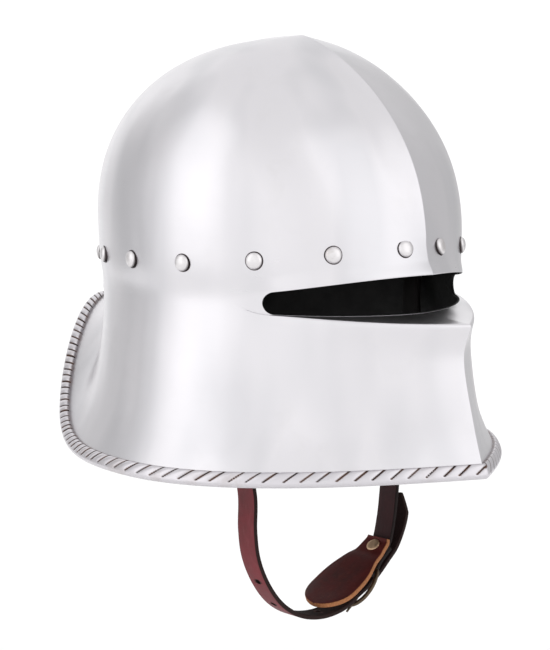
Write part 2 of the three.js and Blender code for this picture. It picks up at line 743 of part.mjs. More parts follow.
sallet.add(piece("helmet_shell", helmetShell(), steel));
for (const rivet of rivets) {
  const mesh = piece(rivet.name, browRivet(rivet), rivetSteel);
  mesh.quaternion.setFromUnitVectors(new THREE.Vector3(0, 1, 0), rivet.out);
  mesh.position.copy(rivet.point);
  sallet.add(mesh);
}
sallet.add(piece("long_strap", longStrap(), leather));
sallet.add(piece("buckle_strap", buckleStrap(), leather));
sallet.add(piece("chin_pad", chinPad(), padLeather));
const riveted = piece("pad_rivet", padRivet(), brass);
riveted.quaternion.setFromUnitVectors(new THREE.Vector3(0, 1, 0), AWAY);
riveted.position.copy(atBuckle(PAD_RIVET_AT, 0));
sallet.add(riveted);
sallet.add(piece("buckle_frame", buckleFrame(), darkBrass));
sallet.add(piece("buckle_tongue", buckleTongue(), darkBrass));

export default sallet;
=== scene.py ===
"""A polished sallet with a roped rim and a buckled leather chin strap.

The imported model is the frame. Each piece here is a surface worked out with numpy on a grid of two
parameters, in millimetres in the frame's own axes, and put into its mesh in metres.
"""

import math

import bpy
import numpy as np
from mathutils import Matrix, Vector


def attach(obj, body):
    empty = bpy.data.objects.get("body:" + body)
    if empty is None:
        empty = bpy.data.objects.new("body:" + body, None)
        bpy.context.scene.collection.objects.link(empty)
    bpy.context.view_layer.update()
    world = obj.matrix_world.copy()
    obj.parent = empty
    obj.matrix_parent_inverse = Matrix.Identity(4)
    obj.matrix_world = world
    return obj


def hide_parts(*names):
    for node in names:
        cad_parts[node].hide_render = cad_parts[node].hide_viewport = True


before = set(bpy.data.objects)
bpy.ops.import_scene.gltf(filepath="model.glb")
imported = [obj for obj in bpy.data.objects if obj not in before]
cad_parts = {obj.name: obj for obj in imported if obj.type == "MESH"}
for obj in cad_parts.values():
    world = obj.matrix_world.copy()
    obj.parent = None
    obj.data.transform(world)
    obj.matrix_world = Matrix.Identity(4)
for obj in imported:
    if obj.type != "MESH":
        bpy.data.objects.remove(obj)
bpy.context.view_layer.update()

# Sizes of the steel: lengths in millimetres, angles in degrees from the front

SKULL_WIDTH = 218
SKULL_FRONT = 115
SKULL_BACK = 136
CROWN_RISE = 131.5
SKIRT_DROP = 124
RIM_WIDTH = 259
RIM_FRONT = 160
TAIL_REACH = 191
LEDGE_REACH = 148.5
CROWN_FORWARD = 13
WALL = 1.6
COMB_HEIGHT = 2.4
COMB_WIDTH = 14
COMB_END = 1.5
ROLL_HEIGHT = 9
ROLL_PROUD = 3.3
SLIT_END_ANGLE = 53
SLIT_END_LENGTH = 3.4
SLIT_TRIM = 0.6
SMOOTH_AFTER = 12
RIVETS_PER_SIDE = 8
FIRST_RIVET = 15.5
LAST_RIVET = 0.75
DOME_FRONT = 1.52
DOME_BACK = 0.7
DOME_WIDTH = 0.91
DOME_HEIGHT = 0.97
TAIL_LIFT = 4.8
COMB_BASE = 20
FOLD_RADIUS = 2.4
LIP_FLARE = 1.3
TAIL_HOLLOW = 9.5
HOLLOW_ANGLE = 147
HOLLOW_AHEAD = 14
HOLLOW_BEHIND = 26

# Row numbers of the sections, and the rows over which the hollow deepens and fades
BROW, LIP, LEDGE, FOLD, RIM = 1, 2, 3, 4, 7
HOLLOW_FROM, HOLLOW_FULL = 3.7, 5.2
HOLLOW_FADES, HOLLOW_GONE = 5.1, 7.0
TO_FRAME = np.array([0, CROWN_FORWARD, WALL - CROWN_RISE - COMB_HEIGHT])

# Sections from the shoulder of the skull to the rim: drop at the front, side and back as shares of
# SKIRT_DROP, width from SKULL_WIDTH to RIM_WIDTH, front and back reach, and how keen both ends are.
SECTIONS = [
    [-0.12, -0.242, -0.185, 0.05, -0.067, 0.035, 0.12, 0.16],
    [-0.068, 0, 0.052, 0, -0.027, 0, 0.15, 0.16],
    [0.05, 0.16, 0.13, -0.15, 0.08, -0.02, 0.27, 0.2],
    [0.238, 0.212, 0.15, -0.16, -0.045, 0.06, 0.1, 0.22],
    [0.268, 0.2, 0.17, -0.17, None, 0.12, 0.74, 0.25],
    [0.44, 0.45, 0.24, 0.05, 0.63, 0.29, 0.72, 0.42],
    [0.74, 0.74, 0.305, 0.39, 0.81, 0.58, 0.78, 0.55],
    [0.97, 1, 0.34, 1, 1, 1, 0.62, 0.5],
]


def lerp(a, b, k):
    """The value a share k of the way from a to b."""
    return a + (b - a) * k


def ease(k):
    """3k^2 - 2k^3 for k held between 0 and 1."""
    k = np.clip(k, 0, 1)
    return k * k * (3 - 2 * k)


def section_rows():
    """The rows of SECTIONS with every share turned into millimetres."""
    rows = []
    for front, side, back, width, reach, tail, keen_front, keen_back in SECTIONS:
        ahead = LEDGE_REACH if reach is None else lerp(SKULL_FRONT, RIM_FRONT, reach)
        drops = [-front * SKIRT_DROP, -side * SKIRT_DROP, -back * SKIRT_DROP]
        half = lerp(SKULL_WIDTH, RIM_WIDTH, width) / 2
        rows.append([*drops, half, ahead, lerp(SKULL_BACK, TAIL_REACH, tail), keen_front, keen_back])
    return np.array(rows, float)


ROWS = section_rows()
UPPER_ROWS = ROWS[: LIP + 1]
LOWER_ROWS = ROWS[FOLD:]
MIDWAY = (ROWS[LIP : LIP + 1] + ROWS[FOLD : FOLD + 1]) / 2
SMOOTH_ROWS = np.concatenate([ROWS[:LIP], MIDWAY, ROWS[FOLD + 1 :]])


def catmull(a, b, c, d, k):
    """The cubic from b to c whose slopes there are half of c - a and half of d - b."""
    return b + 0.5 * k * (c - a + (2 * a - 5 * b + 4 * c - d) * k + (3 * b - a - 3 * c + d) * k * k)


def through(table, v):
    """Catmull-Rom curve through the rows of a table at row number v, its ends carried on straight."""
    last = len(table) - 1
    i = np.clip(np.floor(v).astype(int), 0, last - 1)
    k = (v - i)[..., None]
    b = table[i]
    c = table[i + 1]
    a = np.where((i > 0)[..., None], table[np.maximum(i - 1, 0)], 2 * b - c)
    d = np.where((i + 1 < last)[..., None], table[np.minimum(i + 2, last)], 2 * c - b)
    return catmull(a, b, c, d, k)


def section(v, t):
    """The row at v: sharp at lip, ledge and fold where the sight is open, one smooth curve past it.

    That curve leaves out the ledge and passes midway between lip and fold.
    """
    low = np.clip(np.floor(v).astype(int), LIP, FOLD - 1)
    straight = lerp(ROWS[low], ROWS[low + 1], (v - low)[..., None])
    sharp = np.where((v <= LIP)[..., None], through(UPPER_ROWS, np.minimum(v, LIP)), straight)
    sharp = np.where((v >= FOLD)[..., None], through(LOWER_ROWS, np.maximum(v, FOLD) - FOLD), sharp)
    melted = np.interp(v, [0, BROW, LIP, FOLD, FOLD + 1, RIM], [0, BROW, 1.9, 2.1, 3, 5])
    k = ease((np.degrees(t) - SLIT_END_ANGLE) / SMOOTH_AFTER)[..., None]
    return lerp(sharp, through(SMOOTH_ROWS, melted), k)


def skin(v, t, side):
    """Outer skin of the shell at row v and angle t from the front.

    x is half the width times sin t; y is the reach times a mix of cos t and a straight line; z goes
    from the side's drop to the front's or back's with a power of cos t. Above the shoulder the
    width and reach shrink with powers of the sine of a height angle. A bell curve in t hollows the
    flanks where they run out into the tail, and a comb that falls off as e to the power -x is added
    on the middle, away from a point at the height of -COMB_BASE.
    """
    v, t, side = np.broadcast_arrays(np.asarray(v, float), np.asarray(t, float), side)
    drop_front, drop_side, drop_back, half, front, back, keen_front, keen_back = np.moveaxis(
        section(np.maximum(v, 0), t), -1, 0
    )
    angle = np.clip(1 + v, 0, 1) * (math.pi / 2)
    spread = np.where(v < 0, np.sin(angle), 1.0)
    straight = 1 - 2 * t / math.pi
    ahead = t < math.pi / 2
    turn = np.abs(np.cos(t))
    x = half * np.sin(t) * spread**DOME_WIDTH
    y = np.where(
        ahead,
        -front * lerp(np.cos(t), straight, keen_front) * spread**DOME_FRONT,
        -back * lerp(np.cos(t), straight, keen_back) * spread**DOME_BACK,
    )
    y = y - CROWN_FORWARD * (1 - spread)
    deepens = ease((v - HOLLOW_FROM) / (HOLLOW_FULL - HOLLOW_FROM))
    fades = ease((v - HOLLOW_FADES) / (HOLLOW_GONE - HOLLOW_FADES))
    past = np.degrees(t) - HOLLOW_ANGLE
    bell = np.exp(-((past / np.where(past < 0, HOLLOW_AHEAD, HOLLOW_BEHIND)) ** 2))
    hollow = TAIL_HOLLOW * deepens * (1 - fades) * bell
    x = x - hollow * np.sin(t)
    y = y + hollow * np.cos(t)
    z = np.where(ahead, lerp(drop_side, drop_front, turn**2), lerp(drop_side, drop_back, turn**TAIL_LIFT))
    z = np.where(v < 0, lerp(z, CROWN_RISE, np.clip(np.cos(angle), 0, 1) ** DOME_HEIGHT), z)
    comb = COMB_HEIGHT * np.exp(-x / COMB_WIDTH) * np.clip(1 - np.maximum(v, 0) / COMB_END, 0, 1)
    out_y = y / SKULL_BACK
    out_z = np.maximum(z + COMB_BASE, 0) / (CROWN_RISE + COMB_BASE)
    size = np.sqrt(out_y**2 + out_z**2) + 1e-9
    return np.stack([side * x, y + comb * out_y / size, z + comb * out_z / size], -1) + TO_FRAME


def unit(a):
    """The vectors with their lengths made 1."""
    return a / np.maximum(np.linalg.norm(a, axis=-1, keepdims=True), 1e-12)


# Meshes

NO_TRIS = np.zeros((0, 3), int)


def grid_quads(ids, wrap=False):
    """Quads between neighbours of a grid of vertex numbers, the columns joined in a ring if asked."""
    if wrap:
        ids = np.concatenate([ids, ids[:, :1]], 1)
    return np.stack([ids[:-1, :-1], ids[1:, :-1], ids[1:, 1:], ids[:-1, 1:]], -1).reshape(-1, 4)


def corner_normals(points, faces):
    """Unit normals at the points: the sum of the crossed diagonals of the quads that meet there."""
    across = np.cross(points[faces[:, 2]] - points[faces[:, 0]], points[faces[:, 3]] - points[faces[:, 1]])
    total = np.zeros_like(points)
    for corner in range(4):
        np.add.at(total, faces[:, corner], across)
    return unit(total)


def facing_out(points, quads, tris):
    """The faces as they are, or turned round where the volume that they close is negative."""
    faces = np.concatenate([quads[:, [0, 1, 2]], quads[:, [0, 2, 3]], tris])
    a, b, c = (points[faces[:, j]] for j in range(3))
    if np.sum(np.cross(a, b) * c) < 0:
        return quads[:, ::-1], tris[:, ::-1]
    return quads, tris


def capped(rings):
    """Points, quads and triangles of a tube of rings, each end closed by a fan round its middle."""
    rings = np.asarray(rings)
    ids = np.arange(rings.shape[0] * rings.shape[1]).reshape(rings.shape[:2])
    first, last = ids.size, ids.size + 1
    beside = np.roll(ids, -1, 1)
    fans = [
        np.stack([np.full(ids.shape[1], first), ids[0], beside[0]], -1),
        np.stack([np.full(ids.shape[1], last), beside[-1], ids[-1]], -1),
    ]
    points = np.concatenate([rings.reshape(-1, 3), rings[:1].mean(1), rings[-1:].mean(1)])
    return points, *facing_out(points, grid_quads(ids, True), np.concatenate(fans))


def add_mesh(name, points, quads, tris=NO_TRIS, smooth=True, masks=None):
    """A mesh object from points in millimetres, quads and triangles, with masks' values at the points."""
    mesh = bpy.data.meshes.new(name)
    mesh.from_pydata((points / 1000).tolist(), [], quads.tolist() + tris.tolist())
    mesh.polygons.foreach_set("use_smooth", np.full(len(mesh.polygons), smooth))
    for key, values in (masks or {}).items():
        layer = mesh.attributes.new(key, "FLOAT", "POINT").data
        layer.foreach_set("value", np.ravel(values).astype(np.float32))
    mesh.update()
    piece = bpy.data.objects.new(name, mesh)
    bpy.context.scene.collection.objects.link(piece)
    return piece


def sharpen(piece, degrees):
    """Edges that turn by more than some degrees are shaded sharp."""
    piece.data.set_sharp_from_angle(angle=math.radians(degrees))


def dress(piece, nodes, slot, *materials):
    """Gives a piece its materials and the solids that it replaces. The slot is not used."""
    for material in materials:
        piece.data.materials.append(material)
    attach(piece, "root")
    if nodes:
        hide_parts(*nodes)


# Materials


class Nodes:
    """Short names for making and joining shader nodes in one tree."""

    def __init__(self, tree):
        self.tree = tree

    def add(self, kind, values=None, **settings):
        """A node with its settings, and each input's value or the socket that feeds it."""
        node = self.tree.nodes.new(kind)
        for key, value in settings.items():
            setattr(node, key, value)
        for key, value in (values or {}).items():
            if isinstance(value, bpy.types.NodeSocket):
                self.tree.links.new(value, node.inputs[key])
            else:
                node.inputs[key].default_value = value
        return node

    def math(self, how, a, b=0.0):
        """One sum of two numbers."""
        return self.add("ShaderNodeMath", {0: a, 1: b}, operation=how).outputs[0]

    def mix(self, factor, a, b):
        """Colour a where the factor is 0, colour b where it is 1."""
        return self.add("ShaderNodeMix", {0: factor, 6: a, 7: b}, data_type="RGBA").outputs[2]

    def ramp(self, value, low, high, out_low=0.0, out_high=1.0):
        """The value carried in a straight line from low..high to out_low..out_high, and held there."""
        ends = {"From Min": low, "From Max": high, "To Min": out_low, "To Max": out_high}
        return self.add("ShaderNodeMapRange", {"Value": value, **ends}, clamp=True).outputs["Result"]

    def noise(self, place, scale, detail=3.0, rough=0.5, warp=0.0):
        """Cloudy noise from 0 to 1."""
        kind = {"Scale": scale, "Detail": detail, "Roughness": rough, "Distortion": warp}
        return self.add("ShaderNodeTexNoise", {"Vector": place, **kind}).outputs["Fac"]

    def stretch(self, place, scale):
        """A place times a factor in each direction."""
        return self.add("ShaderNodeMapping", {"Vector": place, "Scale": scale}).outputs[0]


FLOAT = "NodeSocketFloat"
COLOR = "NodeSocketColor"
VECTOR = "NodeSocketVector"


def new_group(name, inputs, outputs):
    """An empty node group with the named inputs, their types and defaults, and outputs."""
    tree = bpy.data.node_groups.new(name, "ShaderNodeTree")
    for label, kind, value in inputs:
        socket = tree.interface.new_socket(label, in_out="INPUT", socket_type=kind)
        if value is not None:
            socket.default_value = value
    for label, kind in outputs:
        tree.interface.new_socket(label, in_out="OUTPUT", socket_type=kind)
    given = tree.nodes.new("NodeGroupInput").outputs
    return tree, Nodes(tree), given, tree.nodes.new("NodeGroupOutput").inputs


def polish_group():
    """Hand-polished metal: cloudy colour, streaked roughness, and heights of soft waves and fine lines."""
    tree, n, given, out = new_group(
        "hand polish",
        [
            ("Place", VECTOR, None),
            ("Tone", COLOR, (0.8, 0.8, 0.8, 1)),
            ("Tarnish", COLOR, (0.6, 0.55, 0.52, 1)),
            ("Tarnish Amount", FLOAT, 0.15),
            ("Roughness Low", FLOAT, 0.15),
            ("Roughness High", FLOAT, 0.3),
        ],
        [("Color", COLOR), ("Roughness", FLOAT), ("Waves", FLOAT), ("Lines", FLOAT)],
    )
    place = given["Place"]
    cloud = n.noise(place, 14.0, 4.0, 0.6)
    stain = n.ramp(n.noise(place, 55.0, 5.0, 0.65, 0.4), 0.52, 0.72)
    streaks = n.noise(n.stretch(place, (30.0, 30.0, 420.0)), 1.0, 4.0, 0.6)
    fine = n.noise(n.stretch(place, (90.0, 90.0, 1700.0)), 1.0, 2.0, 0.6)
    stained = n.math("MULTIPLY", stain, n.ramp(cloud, 0.4, 0.65))
    amount = n.math("MULTIPLY", stained, given["Tarnish Amount"])
    tree.links.new(n.mix(amount, given["Tone"], given["Tarnish"]), out["Color"])
    mixed = n.math("ADD", n.math("MULTIPLY", streaks, 0.6), n.math("MULTIPLY", cloud, 0.4))
    tree.links.new(n.ramp(mixed, 0.3, 0.7, given["Roughness Low"], given["Roughness High"]), out["Roughness"])
    tree.links.new(n.noise(n.stretch(place, (1.0, 1.0, 0.28)), 26.0, 1.5, 0.4), out["Waves"])
    tree.links.new(fine, out["Lines"])
    return tree


def grain_group():
    """Leather: fine pores, soft creases, and cloudy dye, as a colour, a roughness and a height."""
    tree, n, given, out = new_group(
        "leather grain",
        [
            ("Place", VECTOR, None),
            ("Dye", COLOR, (0.2, 0.05, 0.05, 1)),
            ("Dark", COLOR, (0.05, 0.02, 0.02, 1)),
            ("Worn", COLOR, (0.35, 0.15, 0.12, 1)),
            ("Pore Size", FLOAT, 1400.0),
        ],
        [("Color", COLOR), ("Roughness", FLOAT), ("Height", FLOAT)],
    )
    place = given["Place"]
    cloud = n.noise(place, 60.0, 5.0, 0.6, 0.3)
    fibre = n.noise(n.stretch(place, (1.0, 1.0, 0.25)), 420.0, 4.0, 0.6)
    pores = n.add("ShaderNodeTexVoronoi", {"Vector": place, "Scale": given["Pore Size"]}).outputs["Distance"]
    dyed = n.mix(n.ramp(cloud, 0.35, 0.7), given["Dye"], given["Dark"])
    worn = n.mix(n.math("MULTIPLY", n.ramp(fibre, 0.5, 0.75), 0.35), dyed, given["Worn"])
    tree.links.new(worn, out["Color"])
    tree.links.new(n.ramp(cloud, 0.3, 0.7, 0.62, 0.42), out["Roughness"])
    height = n.math("ADD", n.math("MULTIPLY", pores, 0.5), n.math("MULTIPLY", fibre, 0.5))
    tree.links.new(height, out["Height"])
    return tree


POLISH = polish_group()
GRAIN = grain_group()


def start_material(name):
    """A new material, its nodes, its shader and the place on the piece."""
    material = bpy.data.materials.new(name)
    material.use_nodes = True
    n = Nodes(material.node_tree)
    shader = material.node_tree.nodes["Principled BSDF"]
    place = n.add("ShaderNodeTexCoord").outputs["Object"]
    return material, n, shader, place


def use_group(n, group, values):
    """The outputs of a node group fed with the values."""
    return n.add("ShaderNodeGroup", values, node_tree=group).outputs


def mask(n, name):
    """The mesh's own mask of that name."""
    return n.add("ShaderNodeAttribute", attribute_name=name).outputs["Fac"]


def bump(n, height, strength, distance, normal=None):
    """A normal tilted by a height, over another normal if one is given."""
    values = {"Height": height, "Strength": strength, "Distance": distance}
    if normal is not None:
        values["Normal"] = normal
    return n.add("ShaderNodeBump", values).outputs["Normal"]


def link(material, source, shader, socket):
    """Feeds the shader's socket from the source."""
    material.node_tree.links.new(source, shader.inputs[socket])


def polished_metal(name, tone, tarnish, amount, low, high):
    """A metal with the hand polish: its material, nodes, shader and place, and what the polish gives."""
    material, n, shader, place = start_material(name)
    shader.inputs["Metallic"].default_value = 1.0
    look = {"Tone": tone, "Tarnish": tarnish, "Tarnish Amount": amount}
    polish = use_group(n, POLISH, {"Place": place, **look, "Roughness Low": low, "Roughness High": high})
    return material, n, shader, place, polish


def plate_steel():
    """The shell's outer face: hand polish with duller bands where the waves stand high."""
    material, n, shader, _, polish = polished_metal(
        "polished steel plate", (0.7, 0.685, 0.71, 1), (0.6, 0.585, 0.595, 1), 0.25, 0.27, 0.33
    )
    dull = n.math("MULTIPLY", n.ramp(polish["Waves"], 0.46, 0.62), 0.6)
    link(material, n.mix(dull, polish["Color"], (0.58, 0.575, 0.6, 1)), shader, "Base Color")
    link(material, polish["Roughness"], shader, "Roughness")
    soft = bump(n, polish["Waves"], 0.42, 0.004)
    link(material, bump(n, polish["Lines"], 0.012, 0.0002, soft), shader, "Normal")
    return material


def rope_steel():
    """The roped rim: greyer than the plate, with a line of painted shade and a little rust down each cut, and
    painted shade along its top seam.
    """
    material, n, shader, place, polish = polished_metal(
        "roped rim steel", (0.62, 0.6, 0.63, 1), (0.46, 0.41, 0.4, 1), 0.6, 0.22, 0.4
    )
    cut = mask(n, "cut")
    patches = n.ramp(n.noise(place, 190.0, 4.0, 0.6), 0.42, 0.6)
    rust = n.math("MULTIPLY", n.math("MULTIPLY", n.ramp(cut, 0.02, 0.5), patches), 0.42)
    # Painted shade: the cuts and the seam along the top of the roll go near black.
    dark = n.mix(n.ramp(cut, 0.1, 0.75), polish["Color"], (0.045, 0.032, 0.03, 1))
    link(material, n.mix(rust, dark, (0.2, 0.1, 0.06, 1)), shader, "Base Color")
    link(material, n.mix(cut, polish["Roughness"], (0.8, 0.8, 0.8, 1)), shader, "Roughness")
    link(material, bump(n, polish["Waves"], 0.15, 0.002), shader, "Normal")
    return material


def inside_steel_painted_shade():
    """The inside of the shell, coloured near black as painted shade for the dark inside of the helmet, with
    faint mottled patches.
    """
    material, n, shader, place = start_material("inside with painted shade")
    scale = n.noise(place, 70.0, 6.0, 0.65)
    patches = n.math("MULTIPLY", n.ramp(n.noise(place, 16.0, 3.0, 0.5), 0.4, 0.65), 0.4)
    colour = n.mix(n.ramp(scale, 0.4, 0.7), (0.0015, 0.0015, 0.0018, 1), (0.004, 0.0038, 0.0038, 1))
    link(material, n.mix(patches, colour, (0.006, 0.005, 0.0045, 1)), shader, "Base Color")
    link(material, n.ramp(scale, 0.3, 0.7, 0.75, 0.55), shader, "Roughness")
    link(material, bump(n, scale, 0.35, 0.0006), shader, "Normal")
    shader.inputs["Specular IOR Level"].default_value = 0.15
    return material


def rivet_steel():
    """Domed rivet heads, duller than the plate, with painted shade round the foot where they meet it."""
    material, n, shader, place, polish = polished_metal(
        "rivet steel", (0.72, 0.7, 0.71, 1), (0.38, 0.33, 0.31, 1), 0.9, 0.24, 0.42
    )
    # Painted shade round the foot of each head, from the mesh's mask.
    link(material, n.mix(mask(n, "painted_foot_shade"), polish["Color"], (0.05, 0.04, 0.04, 1)), shader, "Base Color")
    link(material, polish["Roughness"], shader, "Roughness")
    link(material, bump(n, n.noise(place, 330.0, 3.0, 0.5), 0.25, 0.0006), shader, "Normal")
    return material


# Heights in metres over which the straps go near black up inside the helmet: painted shade
INSIDE_SHADE_FROM = -0.235
INSIDE_SHADE_FULL = -0.195
EDGE_SHADE = 0.55
FLESH_SHADE = 0.6


def strap_leather(name, dye, dark, worn, edge, flesh, pore=1400.0):
    """Waxed strap leather: grain outside, a darker flesh side, and cut edges of their own colour.

    Up inside the helmet it goes near black, a painted shade, between the two heights in metres given above
    the function.
    """
    material, n, shader, place = start_material(name)
    grain = use_group(n, GRAIN, {"Place": place, "Dye": dye, "Dark": dark, "Worn": worn, "Pore Size": pore})
    fibres = n.ramp(n.noise(place, 900.0, 4.0, 0.7), 0.35, 0.7)
    rim = n.mix(fibres, edge, [c * EDGE_SHADE for c in edge[:3]] + [1])
    inside = n.mix(fibres, flesh, [c * FLESH_SHADE for c in flesh[:3]] + [1])
    is_flesh, is_edge = mask(n, "flesh"), mask(n, "edge")
    colour = n.mix(is_edge, n.mix(is_flesh, grain["Color"], inside), rim)
    height = n.add("ShaderNodeSeparateXYZ", {"Vector": place}).outputs["Z"]
    # Painted shade: the strap goes near black up inside the helmet.
    inside_shade = n.mix(n.ramp(height, INSIDE_SHADE_FROM, INSIDE_SHADE_FULL), colour, (0.004, 0.0025, 0.0025, 1))
    link(material, inside_shade, shader, "Base Color")
    face_rough = n.mix(is_flesh, grain["Roughness"], (0.92, 0.92, 0.92, 1))
    link(material, n.mix(is_edge, face_rough, (0.78, 0.78, 0.78, 1)), shader, "Roughness")
    link(material, bump(n, grain["Height"], 0.35, 0.0003), shader, "Normal")
    shader.inputs["Specular IOR Level"].default_value = 0.22
    return material


def aged_brass(name, tone, tarnish, amount, low, high):
    """Brass gone dull: tarnish in clouds over a worn metal."""
    material, n, shader, place, polish = polished_metal(name, tone, tarnish, amount, low, high)
    link(material, polish["Color"], shader, "Base Color")
    link(material, polish["Roughness"], shader, "Roughness")
    link(material, bump(n, n.noise(place, 500.0, 4.0, 0.6), 0.3, 0.0004), shader, "Normal")
    return material


# Shell


def side_angles():
    """Angles of the columns of one side: even steps, closer at the ridges and round the slit's end."""
    even = np.linspace(0, 180, 109)
    blunt = SLIT_END_ANGLE - SLIT_END_LENGTH
    end = blunt + SLIT_END_LENGTH * np.sin(np.linspace(0, math.pi / 2, 11))
    even = even[(even < blunt - 0.6) | (even > SLIT_END_ANGLE + 0.6)]
    ridges = [0.25, 0.6, 1.0, 179.0, 179.5]
    return np.radians(np.unique(np.round(np.concatenate([even, end, ridges]), 5)))


def ring_columns(angles):
    """Angle and side of each column, from the back by the wearer's right and front to the left."""
    turn = np.concatenate([-angles[::-1], angles[1:-1]])
    return np.abs(turn), np.where(turn < 0, -1.0, 1.0)


def roll_row(t, side):
    """The row number at which the rolled edge starts, ROLL_HEIGHT up the skin from the rim."""
    end = skin(np.full(t.shape, RIM), t, side)
    slope = np.linalg.norm(end - skin(np.full(t.shape, RIM - 0.1), t, side), axis=-1) / 0.1
    return RIM - ROLL_HEIGHT / slope


def relax(points, weight, rounds):
    """Each row moves half the way to the middle of its two neighbours, times its weight, in rounds."""
    for _ in range(rounds):
        middle = (points[:-2] + points[2:]) / 2
        points[1:-1] += 0.5 * weight[1:-1, None, None] * (middle - points[1:-1])
    return points


def shell_rows(t, side):
    """The outer skin above and below the middle of the slit, as two grids of points.

    Above: dome, brow, and a strip from the lip to the slit's edge, whose upper part flares outward.
    Below: a strip to the ledge, the ledge, a bend round the fold as a parabola between two points
    and the fold, and the wall down to the rolled edge. The slit's end is a quarter of an ellipse.
    """
    past = np.clip((np.degrees(t) - SLIT_END_ANGLE + SLIT_END_LENGTH) / SLIT_END_LENGTH, 0, 1)
    height = skin(np.full(t.shape, LIP), t, side)[:, 2] - skin(np.full(t.shape, LEDGE), t, side)[:, 2]
    gape = 0.5 * np.sqrt(1 - past**2) * (1 - 2 * SLIT_TRIM / height)
    top = LIP + 0.5 - gape
    bottom = LIP + 0.5 + 0.995 * gape * height / (height - 2 * SLIT_TRIM)
    dome = np.linspace(0, 1, 42)[1:-1] - 1
    brow = np.linspace(0, LIP, 34)
    fixed = np.concatenate([dome, brow])
    v = np.repeat(fixed[:, None], len(t), 1)
    weight = np.clip(np.minimum((fixed + 0.8) / 0.4, (1.6 - fixed) / 0.5), 0, 1)
    upper = relax(skin(v, t, side), weight, 22)
    strip = LIP + (top - LIP) * np.array([[1 / 3], [2 / 3], [1]])
    upper = np.concatenate([upper, skin(strip, t, side)])
    open_front = 1 - ease((np.degrees(t) - SLIT_END_ANGLE + 8) / 8)
    flare = LIP_FLARE * ease((np.concatenate([fixed, [LIP] * 3]) - 1.5) / 0.5)[:, None] * open_front
    upper[..., :2] += flare[..., None] * unit(upper[..., :2] - [0, CROWN_FORWARD])
    strip = bottom + (LEDGE - bottom) * np.array([[0], [1 / 3], [2 / 3], [1]])
    corner = skin(FOLD + 0 * t, t, side)
    ledge = np.linalg.norm(corner - skin(LEDGE + 0 * t, t, side), axis=-1)
    wall = np.linalg.norm(skin(FOLD + 0.05 + 0 * t, t, side) - corner, axis=-1) / 0.05
    bend = np.minimum(FOLD_RADIUS, 0.45 * ledge)
    before = FOLD - bend / ledge
    after = FOLD + bend / wall
    across = LEDGE + (before - LEDGE) * np.linspace(0, 1, 9)[1:, None]
    k = np.linspace(0, 1, 8)[1:, None, None]
    round_fold = (1 - k) ** 2 * skin(before, t, side) + 2 * k * (1 - k) * corner + k**2 * skin(after, t, side)
    foot = roll_row(t, side) + 0.12
    down = after + (foot - after) * np.linspace(0, 1, 46)[1:, None]
    lower = np.concatenate([skin(strip, t, side), skin(across, t, side), round_fold, skin(down, t, side)])
    return upper, lower, past < 1


def make_shell():
    """The plate: outer skin, the same skin one wall further in, and rounded edges round the slit.

    The inner skin is each point less WALL times its normal. The slit's edge swells by a sine of the
    share of the wall's thickness.
    """
    t, side = ring_columns(side_angles())
    upper, lower, is_open = shell_rows(t, side)
    pole = skin(np.array([-1.0]), np.array([0.0]), np.array([1.0]))
    points = np.concatenate([upper.reshape(-1, 3), lower.reshape(-1, 3), pole])
    up_ids = np.arange(upper.shape[0] * len(t)).reshape(-1, len(t))
    low_ids = np.arange(lower.shape[0] * len(t)).reshape(-1, len(t)) + up_ids.size
    low_ids[0] = np.where(is_open, low_ids[0], up_ids[-1])
    quads = np.concatenate([grid_quads(up_ids, True), grid_quads(low_ids, True)])
    count = len(points)
    fan = np.stack([np.full(len(t), count - 1), up_ids[0], np.roll(up_ids[0], -1)], -1)
    normals = corner_normals(points, quads)
    normals[-1] = (0, 0, 1)
    inner = points - WALL * normals
    first, last = np.flatnonzero(is_open)[[0, -1]]
    loop = np.concatenate([up_ids[-1][first - 1 : last + 2], low_ids[0][first : last + 1][::-1]])
    place = points[loop]
    run = np.roll(place, -1, 0) - np.roll(place, 1, 0)
    into = unit(np.cross(run, normals[loop]))
    shares = (0.12, 0.5, 0.88)
    edge = [place + (inner[loop] - place) * k + into * 0.35 * math.sin(math.pi * k) for k in shares]
    start = 2 * count + np.arange(len(loop))
    rings = np.stack([loop, start, start + len(loop), start + 2 * len(loop), loop + count])
    everything = np.concatenate([points, inner, *edge])
    foot = np.stack([low_ids[-1], low_ids[-1] + count])
    outside = np.concatenate([quads, grid_quads(rings, True), grid_quads(foot, True)])
    all_quads = np.concatenate([outside, quads[:, ::-1] + count])
    all_tris = np.concatenate([fan, fan[:, ::-1] + count])
    shell = add_mesh("shell_plate", everything, all_quads, all_tris)
    # Inner faces and the slit's rounded edge take the second material, whose near-black colour is painted
    # shade.
    inside = np.zeros(len(all_quads) + len(all_tris), np.int32)
    inside[len(quads) : len(quads) + 4 * len(loop)] = 1
    inside[len(outside) : len(all_quads)] = 1
    inside[len(all_quads) + len(fan) :] = 1
    dress(shell, ["helmet_shell"], "polished_steel", plate_steel(), inside_steel_painted_shade())
    shell.data.polygons.foreach_set("material_index", inside)
    sharpen(shell, 32)


RIM_COLUMNS = 1640
CUT_PITCH = 10.1
TAIL_PITCH = 6.4
CUT_LEAN = 12.5
CUT_HALF = 1.25
CUT_FROM = 0.3
CUT_DEPTH = 0.85
CUT_JITTER = 0.55
STRAND_SWELL = 0.34
TAIL_CUTS_FROM = 92
TAIL_CUTS_OVER = 22

# Height over the rolled edge, and how far it stands out, as shares of its height and ROLL_PROUD
ROLL_SECTION = [[0.99, 0.0], [0.985, 0.3], [0.93, 0.62], [0.8, 0.84], [0.6, 0.96], [0.42, 0.98], [0.25, 0.95]]
ROLL_SECTION += [[0.1, 0.75], [0.0, 0.35], [-0.01, 0.0], [0.05, -0.4], [0.2, -0.62], [0.5, -0.66]]
ROLL_SECTION += [[0.99, -0.6]]


